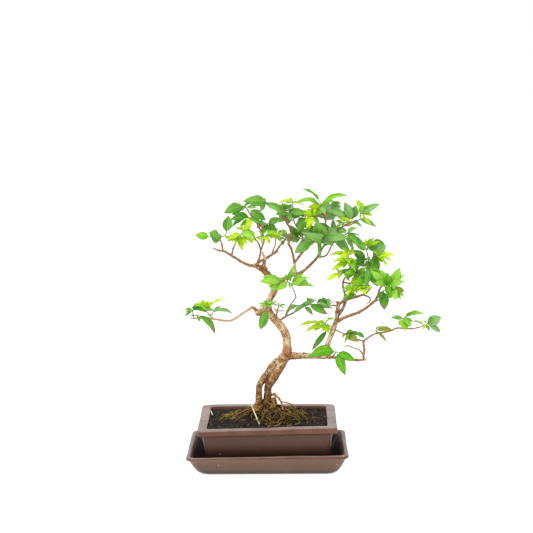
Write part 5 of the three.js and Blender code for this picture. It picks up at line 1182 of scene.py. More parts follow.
# %% Shoots of the front view
SHOOTS = """
far_left_shoot far_left_twig end mature 0 | -64.5 334 -30, -60 336.5 -30, -57.5 341 -30 |
0.8 -102 338 -44 0.85 0.06 0.8 0.5 vivid, 1 -81 342 -24 0.75 0.25 1 mid x1.8, 0.8 -71 324 -22 0.4 0.1 0.7,
3 -54 365 -32 0.95 0.05 1.1 mid x1.25 |
2 -51 330 -36 0.6 0.1 0.9, 1 -76 326 -34 0.5 0.1 0.8, 0 -82 342 -30 0.9 0.3 1.5 mid

left_crown_shoot left_crown_twig end mature 1 | -29 377 6, -32 379 5 |
2 -60 370 -6 0.75 0.2 0.95 mid x1.3, 0.5 -1 359 -8 0.8 0.14 0.9 0.25 mid, 0.8 -13 378 14 0.6 0.1 1 pale,
2 -50 367 14 0.3 0.1 0.8 |
1 -49 366 -12 0.6 0.2 0.8 fresh, 2 -23 383 0 0.6 0.1 0.9

left_front_shoot left_crown_twig 5.5 mature 0 | -23 362.5 -7, -27 362.5 -12, -30 362 -15 |
3 -51 360 -28 0.7 0.22 1 deep, 2.5 -50 351 -16 0.35 0.1 0.8, 2 -23 347 -26 0.7 0.1 0.9 lime,
1.2 -47 368 -10 0.75 0.2 0.95 deep |
3 -49 351 -24 0.5 0.12 0.8, 2 -6 353 -22 0.6 0.1 0.8, 1 -38 349 -8 0.6 0.1 0.9 bright

left_inner_shoot left_crown_side end mature 1 pale | 1 354 7, 3.5 354.5 8 |
1.5 20 361 2 0.85 0.1 1.25 soft, 2 15 343 -2 0.75 0.08 1, 1 -7 342 2 0.7 0.1 1, 2 7 338 16 0.6 0.1 1 pale,
1 -6 350 22 0.5 0.1 0.9 |
1 -13 349 -22 0.6 0.1 1 dry, 1 -3 340 -6 0.7 0.1 1.1

left_lime_shoot left_lime_twig end lime 0 | -41.5 333.5 -28, -37 338 -30, -33 343.5 -32 |
3 -20 358 -36 0.85 0.1 1.2, 1.6 -35 315 -38 0.85 0.02 1.1, 1 -46 323 -40 0.6 0.1 0.8,
2.3 -18 325 -34 0.7 0.1 0.8, 0.6 -58 328 -26 0.5 0.1 0.8, 1.4 -56 335 -24 0.4 0.15 0.7,
3 -28 332 -46 0.6 0.12 0.8 |
3 -38 353 -30 0.7 0.1 1, 3 -22 344 -26 0.6 0.1 0.9, 2 -51 337 -42 0.6 0.1 0.9, 2 -58 332 -34 0.6 0.1 0.9,
1 -27 325 -44 0.8 0.1 1.2, 1 -37 323 -20 0.6 0.1 0.8, 2 -18 333 -42 0.6 0.12 0.9 bright,
1 -51 324 -38 0.6 0.1 0.9, 3 -44 348 -22 0.6 0.1 0.8, 2 -55 331 -30 0.6 0.1 0.8,
3 -15 339 -36 0.6 0.1 0.8 vivid, 2 -44 328 -26 0.6 0.1 0.8

inner_lime_shoot inner_left_twig end lime 0 | -13.5 333 -20, -8 335.5 -20, -1 336 -18 |
3 21 331 -12 0.5 0.1 0.9, 2 7 327 -28 0.6 0.12 0.9, 1 -24 334 -14 0.4 0.1 0.8, 3 15 340 -24 0.45 0.12 0.8,
1.4 -6 328 -34 0.6 0.1 0.8 |
3 13 342 -26 0.6 0.1 0.8 bright, 2 -12 344 -34 0.6 0.1 0.8, 3 5 324 -26 0.5 0.1 0.9,
1 -24 325 -26 0.6 0.1 0.8, 2 -6 323 -24 0.7 0.1 0.8, 1 -29 341 -24 0.5 0.1 0.9, 3 22 337 -18 0.5 0.1 0.8,
2 4 346 -14 0.5 0.1 0.8 fresh, 1 -20 329 -36 0.7 0.1 0.9, 1 -21 340 -30 0.6 0.1 0.9,
1 -16 328 -12 0.6 0.1 0.8

inner_fresh_shoot inner_right_a end fresh 1 | 13.5 335.5 12, 15.5 338 14 |
2 27 334 10 0.5 0.1 0.8, 1 2 336 20 0.4 0.1 0.8, 2 24 344 24 0.6 0.1 0.9 |
2 0 344 4 0.65 0.1 1.1, 1 27 341 18 0.5 0.1 0.8 lime, 2 21 328 8 0.6 0.1 0.9 lime,
1 5 331 20 0.6 0.1 0.9 lime, 1 10 346 22 0.6 0.1 1

inner_right_shoot inner_right_b end mature 1 | 27 330.5 16, 27.5 332.5 18 |
0.6 41 328 6 0.6 0.15 0.9, 2 24 346 28 0.7 0.1 0.9, 2 43 339 30 0.7 0.1 0.9, 1 21 323 10 0.8 0.1 1.1 |
2 44 330 8 0.85 0.1 1.15, 1 18 333 22 0.7 0.1 1

top_left_shoot long_dark_twig end mature 1 | 3.5 382.5 -18, -0.5 383 -19 |
1.2 -32 387 -26 0.8 0.24 1.05 mid, 2 -9 370 -30 0.6 0.1 0.9, 2 -6 390 -4 0.5 0.12 0.9 pale |
1 16 377 -12 0.6 0.1 0.8, 2 7 377 -26 0.6 0.1 0.8

dark_twig_shoot long_dark_twig 8 mature 0 | 26.5 369 -3, 28.5 370.5 0, 30.5 372 3 |
3 17 381 -4 0.7 0.1 1, 2 15 367 -26 0.8 0.1 1.1 soft, 1.5 38 357 -14 0.8 0.1 1 soft,
3 39 378 -6 0.6 0.1 0.9, 2.6 22 356 14 0.7 0.1 1, 1.4 26 383 -22 0.6 0.1 0.9, 3 49 363 10 0.9 0.08 1.2,
2 18 355 -20 0.92 0.08 1.3 soft |
3 11 376 -10 0.85 0.1 1.2 olive, 3 59 368 14 0.7 0.1 0.85, 3 37 382 10 0.6 0.1 1,
1 34 353 6 0.8 0.08 1.2 olive

top_lime_shoot pink_crown_twig end lime 0 | 38.5 383.5 0, 37.5 385.5 0 |
1 17 383 -8 0.5 0.2 0.7, 1 54 380 6 0.5 0.12 0.7, 2 31 389 10 0.6 0.1 0.8, 2 43 389 -10 0.6 0.1 0.8 |
2 34 392 -4 0.7 0.1 0.9, 1 26 382 8 0.5 0.15 0.8, 1 46 383 12 0.5 0.1 0.8 fresh

crown_inner_shoot crown_inner_twig end mature 1 | 55.5 362 15, 56 364 16 |
2 41 370 6 0.7 0.1 1 deep, 1.5 63 375 24 0.6 0.1 1, 0.4 43 352 6 0.7 0.12 1, 1 65 350 24 0.6 0.1 1 |
1 46 343 6 0.85 0.1 1.1, 2 72 371 10 0.8 0.1 1.1, 1 60 342 12 0.7 0.1 1

crown_grey_shoot pink_crown_twig 1 mature 1 | 49 332.5 18, 47 333.5 19, 45 334.5 20 |
3 41 344 10 0.8 0.1 1 deep, 2.4 43 325 12 0.7 0.1 1, 1.6 55 342 26 0.8 0.1 1 deep |
3 54 346 28 0.85 0.1 1.2, 3 38 327 4 0.9 0.1 1.2 soft, 2 25 335 16 0.7 0.1 1, 2 34 351 28 0.8 0.1 1

crown_wide_shoot right_prong 4 mature 0 | 65 328 14, 65 329 9, 64.5 330.5 5 |
2.4 41 311 -6 0.92 0.08 1.15 soft, 2.8 53 346 -4 0.9 0.1 1.15 pale, 3 84 340 -2 0.6 0.16 1 pale,
2 84 325 4 0.65 0.1 1 |
2 48 327 -14 0.55 0.1 1.1 olive, 3 54 332 -20 0.88 0.25 1.3 pale

crown_low_shoot right_prong 5 mature 0 | 74.5 333.5 11, 76 333 6, 78 333 2 |
2 77 301 0 0.35 0.04 0.8 mid x0.42, 3 118 333 -12 0.8 0.1 0.85 soft, 2.6 97 321 -10 0.7 0.1 1 pale,
2.4 94 343 -16 0.7 0.12 1 pale, 2 52 340 -22 0.75 0.3 1.2 soft x0.62 |
2 102 346 -4 0.75 0.12 1 pale, 1 60 320 6 0.7 0.1 1.1 olive, 2 58 350 -8 0.85 0.2 1.3,
3 72 355 -6 0.8 0.1 1.4

crown_lime_shoot crown_lime_twig end lime 0 | 68 363 -12, 65 363.5 -14 |
2 53 369 -18 0.6 0.1 0.9, 2 55 356 -22 0.6 0.1 0.9, 1 69 374 -20 0.6 0.1 0.9, 1 61 344 -18 0.5 0.05 0.75 |
2 56 373 -18 0.65 0.1 1, 1 71 377 -22 0.8 0.1 1, 2 52 363 -14 0.55 0.1 0.9, 1 76 352 -24 0.7 0.1 0.9 mid,
1 58 347 -26 0.7 0.1 1, 2 63 370 -30 0.7 0.1 1

crown_top_shoot right_prong end lime 0 | 79.5 378 8, 79 381 7 |
2 51 405 -6 0.4 0.12 0.55 rich, 2 118 393 14 0.5 0.2 0.6 vivid, 1.2 43 386 -16 0.5 0.15 0.6 vivid,
1.5 60 377 -12 0.9 0.1 1, 1.6 101 385 24 0.45 0.12 0.7 vivid, 1 93 369 -6 0.6 0.1 0.8 pale |
1 62 372 -12 0.85 0.1 1, 1 85 367 -16 0.7 0.1 1 soft, 1 72 369 -20 0.8 0.1 1, 2 93 388 10 0.5 0.1 0.7,
1 67 384 16 0.5 0.1 0.9

crown_back_shoot crown_back_twig end mature 1 | 89 377 26, 91 378.5 28 |
2 108 377 22 0.85 0.1 1, 0.6 113 364 14 0.85 0.1 1.1, 0.4 75 361 22 0.8 0.1 1.1 pale, 2 84 388 40 0.6 0.1 1,
1 93 356 30 0.9 0.06 1.2 |
1 72 365 14 0.9 0.1 1.3 bright, 2 107 383 34 0.85 0.1 1.3, 2 75 378 36 0.65 0.1 1, 1 64 354 34 0.8 0.1 1.1

right_long_shoot right_long_twig end mature 1 | 91.5 336 46, 93.5 339 49, 96.5 342 51 |
2 120 312 38 0.85 0.1 0.85 pale, 1.4 115 325 50 0.7 0.12 1 deep, 3 96 359 44 0.75 0.1 1 pale,
3 117 343 60 0.7 0.1 1, 2 80 347 56 0.6 0.1 1 |
3 115 353 42 0.5 0.12 0.9 bright, 2 73 354 38 0.7 0.1 1

right_side_shoot right_long_side end mature 1 | 97.5 327.5 32, 99 328.5 34 |
1.6 80 318 46 0.6 0.1 1, 2 111 318 20 0.6 0.1 0.9 pale |
2 119 313 12 0.85 0.15 1 pale

right_crown_shoot right_crown_twig end mature 1 | 122 356 22, 123.5 358.5 22 |
2 113 383 16 0.92 0.08 1.2 pale, 1 105 362 12 0.6 0.1 0.9 lime, 2 133 372 34 0.6 0.1 0.9 pale |
2 129 379 20 0.85 0.1 1.3, 2 109 371 26 0.7 0.1 1

right_pink_shoot right_pink_twig end mature 0 | 133.5 361.5 8, 135.5 368 6, 135 373.5 5 |
1.8 163 381 -2 0.65 0.08 0.8 pale, 3 130 387 10 0.5 0.08 0.7 lime, 3 144 382 -4 0.5 0.08 0.7 lime,
0.5 158 348 2 0.6 0.16 0.75 pale, 1.8 153 366 18 0.6 0.12 0.9 lime, 0.4 149 354 18 0.35 0.1 0.6 pale |
3 132 387 2 0.75 0.1 1.2 lime, 3 144 378 8 0.65 0.1 1.1 lime, 2 153 363 10 0.6 0.15 0.9 lime,
3 164 373 12 0.35 0.12 0.6 lime, 1 151 350 -8 0.5 0.3 0.7 lime, 1 143 361 -12 0.4 0.25 0.7 lime,
2 138 382 -6 0.8 0.1 0.9 bright

right_lime_shoot right_crown_twig 2.5 lime 0 | 110.5 351.5 36, 111.5 354 40, 112 356.5 42 |
3 101 363 40 0.6 0.1 0.9, 3 125 362 44 0.6 0.1 0.9, 2 102 352 52 0.6 0.1 0.9, 2 124 352 50 0.6 0.1 0.9 |
3 101 368 38 0.65 0.1 1, 3 120 366 40 0.6 0.1 0.9, 2 99 357 46 0.6 0.1 0.9, 1 122 348 44 0.5 0.1 0.9,
3 113 369 34 0.7 0.1 0.9

right_front_shoot right_front_twig end mature 0 | 114 337 9, 116 339 7 |
1 145 315 -6 0.6 0.08 0.7, 0.4 126 313 6 0.35 0.06 0.7 pale, 2 137 334 8 0.2 0.06 0.6,
2 130 347 -6 0.6 0.1 0.9, 1.6 106 343 -8 0.6 0.1 0.9 |
2 130 332 14 0.45 0.1 0.9, 2 135 319 -14 0.5 0.12 0.8 mid

right_tip_shoot right_back_twig end lime 0 | 145.5 314.5 49, 146 318 48 |
2 142 331 44 0.65 0.1 0.9, 2 157 327 44 0.6 0.1 0.9, 2 149 332 56 0.6 0.1 0.8,
1.4 163 321 54 0.45 0.2 0.6 pale, 1 171 324 54 0.85 0.12 1.3 mid |
2 138 327 52 0.5 0.1 0.8, 2 155 332 40 0.6 0.1 0.8, 1 129 322 40 0.8 0.1 1 mature, 2 164 327 46 0.5 0.12 0.8

right_back_shoot right_back_twig 3 mature 1 rich | 150.5 303.5 44, 152.5 304 39, 155.5 304.5 35 |
1.8 172 321 30 0.85 0.08 1.1 pale, 2.4 176 308 44 0.7 0.1 1, 2.1 162 284 26 0.95 0.06 1.25 mid |
1 173 311 34 0.9 0.1 1.2, 2 169 297 24 0.85 0.1 1.1 vivid, 1 152 285 40 0.8 0.1 1

right_left_shoot right_back_twig 2.7 mature 1 | 145 299 46, 143.5 300 42, 141.5 301 39 |
2.4 124 295 30 0.85 0.2 1.2 deep, 3 128 312 32 0.85 0.1 1.1 mid, 2 146 284 36 0.8 0.04 0.9 |
2 125 314 26 0.9 0.1 1.3, 2 125 293 24 0.7 0.25 1.1

right_fan_shoot right_back_shoot end lime 0 | 160 305.5 30, 163.5 304.5 28.5 |
2 181 310 26 0.5 0.16 0.55, 2 183 296 20 0.5 0.14 0.5, 1.6 173 294 20 0.6 0.12 0.6,
2 171 287 38 0.4 0.1 0.5, 2 177 300 30 0.4 0.12 0.5 |
2 172 312 22 0.5 0.14 0.6, 2 179 304 30 0.5 0.14 0.5, 1 169 300 34 0.6 0.12 0.8, 2 187 305 24 0.3 0.12 0.5,
1 155 313 22 0.6 0.1 0.8, 2 175 289 26 0.45 0.12 0.55

prong_lime_shoot second_prong end lime 0 | 118 299 19, 118 303 16, 118.5 307.5 14 |
2.6 92 309 6 0.55 0.16 0.8, 1.4 96 298 6 0.6 0.16 0.8, 0.5 93 285 12 0.6 0.12 0.8, 3 129 311 6 0.7 0.1 0.9,
3 114 316 22 0.6 0.1 0.8 |
2 98 312 10 0.6 0.14 0.9, 3 109 318 6 0.6 0.1 0.9, 2 130 297 8 0.6 0.1 0.9, 1 102 294 4 0.6 0.12 0.9,
1 128 286 10 0.6 0.1 0.9 vivid, 3 127 319 4 0.6 0.1 0.9, 3 106 304 0 0.7 0.1 0.9, 1 110 288 0 0.7 0.1 1,
2 119 296 -4 0.7 0.1 1

prong_low_lime_shoot second_prong 9 lime 0 | 114 281.5 18, 111.5 281 13, 108 280.5 9 |
3 85 270 0 0.5 0.1 0.75, 2.6 101 270 2 0.5 0.1 0.7, 1.8 115 274 4 0.6 0.08 0.7 |
3 92 275 -6 0.6 0.14 0.9, 2 120 269 0 0.6 0.1 0.9, 4 99 288 2 0.6 0.1 0.9, 3 90 267 6 0.5 0.14 0.7

prong_leaf_shoot prong_leaf_twig end mature 0 | 131 281 14, 133.5 278 12 |
1.8 110 284 4 0.6 0.14 1 deep, 1.2 115 272 8 0.4 0.16 0.9, 2 130 269 0 0.4 0.1 0.8,
0.4 102 283 26 0.35 0.04 0.7, 2 141 289 20 0.6 0.1 0.9, 1 122 262 14 0.75 0.12 1 lime |
1 112 280 8 0.7 0.1 1 vivid, 2 145 291 10 0.6 0.1 0.9 bright, 2 119 293 0 0.7 0.15 1,
1 142 266 4 0.8 0.1 1.1 fresh

pink_right_shoot pink_right_twig end mature 1 | 142.5 292 47, 143.5 292.5 48 |
1 126 292 60 0.6 0.1 1 pale, 2 153 298 62 0.7 0.1 1 deep, 1 136 280 58 0.6 0.1 1 |
1 151 284 50 0.85 0.1 1.1

pink_fork_shoot pink_right_fork end mature 0 | 148.5 284.5 11, 150.5 281.5 6 |
2 125 262 -6 0.92 0.08 1.15 vivid, 1.6 171 261 -2 0.8 0.1 1.1 |
1 172 270 0 0.85 0.1 1.2 bright, 1 161 261 6 0.8 0.1 1.1, 2 135 275 2 0.7 0.1 1.1,
2 165 282 -8 0.8 0.1 1.1 fresh, 1 143 260 -10 0.85 0.1 1 mid x0.6

limb_fresh_shoot right_limb end fresh 0 | 173 263.5 -16, 176.5 261.5 -16, 179.5 259 -17 |
3 192 288 -22 0.92 0.06 1.15 bright x1.15, 3 194 243 -24 0.85 0.08 1.1, 2.6 199 246 -2 0.6 0.1 0.9 bright,
0.6 151 284 -22 0.85 0.08 1.1 bright, 2 203 279 -4 0.3 0.08 0.6 bright, 1 170 278 2 0.6 0.1 1 rich,
1 180 244 -30 0.92 0.1 1.1 rich, 2 164 286 -12 0.85 0.1 1.1 bright |
3 187 242 -20 0.92 0.1 1.3 bright, 3 200 254 -10 0.7 0.1 1.1 olive x0.7, 1 156 266 -20 0.8 0.1 1.2 bright,
2 174 281 -28 0.85 0.1 1.2 rich, 3 197 269 -30 0.7 0.12 1 bright, 1 179 246 -30 0.5 0.12 0.6 rich,
1 170 262 -34 0.6 0.12 0.7

limb_leaf_shoot right_limb 8 mature 0 | 166 255.5 -17, 168.5 255.5 -22, 170.5 255 -25 |
2 170 227 -34 0.97 0.04 1.2 deep tip, 3 180 244 -30 0.7 0.08 0.9 |
2 162 241 -30 0.8 0.1 0.9 deep

yellow_shoot prong_yellow_stub end lime 0 | 124 257 4, 129.5 257.5 0, 135.5 257.5 -3 |
0.6 110 258 0 0.4 0.1 0.9 x1.3, 3 150 258 -8 0.45 0.12 0.8 x1.4, 1.4 124 252 -16 0.6 0.1 0.8,
2 131 264 -12 0.5 0.1 0.8, 2.6 142 251 -12 0.5 0.1 0.8 |
3 151 263 -4 0.45 0.12 0.8 x1.4, 2 116 251 -8 0.5 0.1 0.8, 1 111 261 -6 0.5 0.12 0.8,
3 143 250 -16 0.55 0.1 0.9 x1.2, 2 120 264 -8 0.5 0.1 0.8 x1.4, 1 133 249 -10 0.6 0.1 0.9,
3 130 265 -18 0.5 0.1 0.8, 2 141 264 -12 0.5 0.12 0.9 x1.4, 1 119 254 -20 0.6 0.1 1,
1 112 259 -18 0.5 0.1 0.8 bright x0.7, 2 123 255 -24 0.5 0.1 0.9, 3 146 259 -14 0.45 0.12 0.8,
1 115 264 2 0.5 0.1 0.8, 2 130 253 12 0.6 0.1 1.1, 2 132 262 14 0.6 0.1 1, 3 149 255 -8 0.5 0.1 1,
2 126 256 18 0.85 0.08 1.3, 3 141 257 16 0.85 0.08 1.3, 3 151 260 6 0.75 0.1 1.2

second_leaf_shoot second_reach 3 mature 0 | 129.5 248.5 10, 128.5 250 7, 127.5 250.5 4 |
2.4 110 244 -6 0.6 0.12 0.95, 3 112 260 12 0.4 0.14 0.9 |
2 112 242 -2 0.6 0.12 0.9

second_left_shoot second_left_twig end mature 0 | 91 232 11, 89.5 231.5 9 |
1.4 89 245 4 0.7 0.06 0.9 pale, 2 75 238 2 0.6 0.12 0.8, 1 101 241 2 0.25 0.1 0.6 |
1 80 246 8 0.6 0.1 0.9, 2 96 229 4 0.6 0.1 0.8 fresh

trunk_fresh_spray middle_thin_twig end fresh 0 | 35.5 265 -17, 30 268.5 -20, 23.5 269 -22 |
3 -11 270 -26 0.75 0.16 0.9 bright, 2.6 5 258 -32 0.95 0.06 1.3 bright, 1.4 40 296 -18 0.35 0.05 0.6 bright,
0.8 60 276 -20 0.75 0.14 0.85 bright, 0.4 69 263 -14 0.5 0.1 0.7 bright, 3 16 276 -30 0.6 0.1 0.9 bright,
1.6 34 259 -28 0.7 0.04 0.8 bright |
3 -7 277 -24 0.7 0.14 0.9 bright, 3 2 262 -26 0.85 0.1 1.2 bright, 2 15 257 -28 0.9 0.08 1.2 bright,
1 48 266 -22 0.7 0.14 1 bright, 1 53 282 -18 0.7 0.14 0.9 bright, 2 27 281 -16 0.6 0.1 0.9,
1 61 268 -10 0.5 0.15 0.7, 2 35 286 -24 0.45 0.08 0.7

trunk_hanging_leaf main_stem 17 mature 0 | 0.5 230.5 -11.5, 0 229.5 -14, 0 228 -15.5 |
2.6 -10 199 -20 0.97 0.05 1.35 mid x0.78 |

trunk_fresh_shoot main_stem 18 fresh 0 | 0 236 -8, -0.5 236.5 -11, -0.5 237.5 -13 |
3 -10 232 -18 0.6 0.12 0.9 bright x1.6, 3 -6 241 -18 0.5 0.1 0.8 bright x1.6,
3 11 238 -18 0.45 0.1 0.8 bright x1.6, 2 8 231 -19 0.5 0.1 0.7 bright x1.6 |
2 3 242 -14 0.5 0.1 0.8 bright, 2 -13 237 -14 0.5 0.1 0.8 bright, 3 16 233 -14 0.45 0.1 0.7

middle_riser_shoot middle_riser end fresh 0 | 16.5 233.5 -7, 17 234.5 -8 |
1.6 11 235 -12 0.5 0.12 0.7, 1.6 24 230 -12 0.6 0.1 0.7, 2 21 239 -4 0.4 0.08 0.6 |
1 28 235 -8 0.5 0.1 0.7, 1 9 240 -6 0.5 0.1 0.7

middle_shoot middle_twig end mature 1 | 56.5 233.5 21, 61.5 235 20, 67.5 236 18, 74.5 235.5 16 |
0.5 66 221 12 0.65 0.12 0.95 tip, 1 25 220 8 0.5 0.2 0.7 0.3, 2 88 221 6 0.75 0.12 1 x0.78 tip,
2.6 52 238 8 0.65 0.2 1, 4 92 230 6 0.6 0.1 0.9 pale, 3.6 82 244 28 0.6 0.1 0.9 |
2 46 233 24 0.5 0.12 0.8, 4 94 242 12 0.7 0.1 0.9 fresh, 3 84 226 0 0.7 0.12 1,
1 39 225 10 0.5 0.15 0.7 pale, 2 58 246 14 0.55 0.1 0.9

lime_fan_shoot thin_left_twig end lime 0 | 89 200.5 27, 86 203 26, 84 206 25 |
3 44 204 10 0.35 0.12 0.55, 2 55 197 8 0.5 0.14 0.75, 2.4 88 196 10 0.9 0.04 1.3, 3 97 219 16 0.25 0.04 0.5,
3 74 212 34 0.5 0.1 0.8 x1.8, 1 65 169 16 0.7 0.05 0.65 0.14 deep x0.78 tip |
3 89 194 8 0.9 0.06 1.2 x1.25, 3 96 215 10 0.5 0.1 0.8, 3 67 197 14 0.6 0.1 0.9, 2 93 203 16 0.7 0.08 0.9,
2 80 196 14 0.8 0.08 1

low_arm_leaves low_leaf_stub end mature 0 | 100 165 -5, 101.5 165.5 -8 |
1.2 59 159 -20 0.6 0.26 1.1 rich, 2 128 153 -16 0.85 0.2 1.1 rich, 1.6 113 131 -28 0.95 0.06 1 rich |

spotted_shoot thin_left_twig 3.7 mature 0 | 114.5 191.5 9, 114 192.5 5, 117 193.5 2, 121 194.5 0 |
1.6 133 181 -6 0.8 0.1 1.1 olive, 4 142 187 -2 0.6 0.14 0.7 0.35, 2.6 109 187 -8 0.4 0.12 0.8 olive |
2 125 196 -4 0.5 0.12 0.9, 4 112 179 2 0.5 0.12 0.7 fresh, 3 135 191 4 0.6 0.12 0.8

olive_shoot right_end_twig 3 mature 0 | 158 195 -13, 157.5 196.5 -16, 158 197 -18 |
2.6 183 197 -24 0.6 0.2 0.8 olive, 1.8 173 181 -24 0.35 0.06 0.6 olive tip |
2 164 203 -22 0.5 0.16 0.7 olive

heart_shoot heart_twig end mature 0 | 198 214.5 -17, 199.5 215.5 -18 |
0.6 180 216 -18 0.7 0.14 0.9, 1.2 200 198 -26 0.95 0.05 1.2 vivid x1.7, 2 208 202 -32 0.8 0.08 1.1 vivid,
2 228 221 -14 0.35 0.16 0.6 vivid x1.6 |
2 211 210 -26 0.85 0.08 0.9, 2 214 224 -18 0.4 0.16 0.6

right_end_shoot right_end_twig end mature 0 | 229.5 205 -20, 232.5 206 -20 |
1.6 252 216 -24 0.8 0.14 1.15 pale x1.4, 2 252 194 -16 0.7 0.08 0.85 pale, 0.6 211 211 -26 0.4 0.06 0.6,
1 236 196 -28 0.6 0.06 0.9 |
2 223 212 -22 0.5 0.1 0.7 lime, 2 225 198 -26 0.5 0.1 0.8 lime, 2 240 215 -28 0.5 0.14 0.8

low_left_lime low_left_rise end lime 0 | -88 229 -34, -86.5 231.5 -35 |
2 -107 237 -30 0.5 0.12 0.8, 2 -95 244 -44 0.6 0.1 0.9, 2 -79 242 -26 0.6 0.1 0.8,
2 -57 246 -42 0.35 0.1 0.5, 1 -77 228 -46 0.6 0.08 0.8 soft, 1 -102 230 -46 0.5 0.1 0.8 deep |
2 -106 233 -40 0.5 0.12 0.7, 2 -85 244 -36 0.6 0.1 0.9, 1 -81 234 -44 0.6 0.1 0.9,
2 -101 242 -36 0.6 0.12 0.8, 1 -97 227 -40 0.5 0.1 0.8 fresh, 2 -77 239 -34 0.5 0.1 0.8

low_left_shoot low_left_tip end mature 0 | -107.5 227 -41, -107.5 228.5 -42 |
1.8 -119 230 -40 0.5 0.14 1 mid, 2 -89 226 -50 0.6 0.12 0.9 deep x0.6, 0.8 -119 221 -48 0.45 0.1 0.9 mid,
2 -102 238 -34 0.4 0.1 0.9 vivid |
2 -117 226 -44 0.5 0.12 1, 1 -119 216 -44 0.4 0.12 0.9 fresh, 2 -94 234 -46 0.5 0.14 0.9 vivid x0.6,
2 -87 230 -42 0.45 0.12 0.9 bright

low_left_hanging low_left_front end mature 0 | -102.5 221 -47, -102 221.5 -49 |
2 -75 193 -52 0.5 0.3 0.85 mid x0.74 tip, 0.6 -97 211 -46 0.5 0.06 0.8 |
1 -112 218 -44 0.4 0.1 0.8

low_left_side_leaf low_left_rise 1 mature 0 | -80.5 223 -36, -79 224.5 -39, -77.5 225.5 -41 |
3 -52 226 -46 0.5 0.14 0.7 pale x0.65, 2.4 -66 234 -30 0.5 0.1 0.8 pale |
3 -49 223 -44 0.45 0.2 0.6 dry
"""

# %% [markdown]
# ### One fine leaf
# A blade is a closed shell: a ring of points round its section, at each of a dozen places from the foot to
# the tip. The section is thick at the midrib and thin at the edge. Slow waves lift the edge, as they do on
# every real leaf, and the stalk is nearly round. The mesh stores where each point lies on its leaf, for
# veins, and a chance value, so that no two leaves have the same green.

# %% Leaf shells
SECTION = np.array([-1, -0.72, -0.4, -0.12, 0.12, 0.4, 0.72, 1])
UNDER = SECTION[-2:0:-1]
PLACES = np.array([0, 0.05, 0.14, 0.27, 0.42, 0.57, 0.71, 0.83, 0.92, 0.97, 1])
LONG_STALK = 0.15
EDGE_THICK, RIB_THICK = 0.14, 0.34
SIDE_VEINS = 17
leaf_chance = np.random.default_rng(19)


def leaf_grid(leaf, wave, lobes, phase, curl, full, slim):
    """Rings round the blade's section: the upper side from edge to edge, then the under side back. Towards
    the tip the blade is filled out by (1.08 - s)^-full: old leaves end in a short point, young ones don't."""
    blade = leaf.stalk + (1 - leaf.stalk) * PLACES
    foot_places = [0, leaf.stalk * 0.6] if leaf.stalk > LONG_STALK else [0]
    share = np.concatenate([foot_places, blade])
    sideways = np.concatenate([SECTION, UNDER])
    below = np.concatenate([np.zeros(len(SECTION)), np.ones(len(UNDER))])
    share, sideways = np.meshgrid(share, sideways, indexing="ij")
    half = leaf.half(share)
    edge = np.abs(sideways) ** 2
    turn = 2 * np.pi * (3.4 * share + 2.1 * phase + 0.4 * np.sign(sideways))
    notch = 1 + lobes * np.sin(turn) * np.clip(share * 4, 0, 1)
    notch = notch * slim * (1.08 - np.clip(share, 0, 1)) ** -full
    lift = wave * edge * half * np.sin(2 * np.pi * (2.6 * share + phase + 0.3 * np.sign(sideways)))
    lift = lift + curl * leaf.length * np.clip(share - 0.6, 0, 1) ** 2
    foot = np.clip(1 - (share - leaf.stalk) / 0.08, 0, 1)
    thick = EDGE_THICK + RIB_THICK * (1 - np.abs(sideways)) ** 1.5
    thick = np.maximum(thick, foot * 0.9) * np.clip((1.02 - share) * 8, 0.12, 1)
    lift = lift - below[None, :] * thick * np.clip(1.2 - edge, 0, 1)
    tip = np.where(share >= 1, 0.1, 0)
    grid = leaf.points(share, sideways, lift, notch)
    grid = grid + (sideways * tip)[..., None] * leaf.across
    uv = np.stack([sideways * 0.5 + 0.5, share], axis=-1)
    return grid, uv, np.broadcast_to(below[None, :], share.shape)


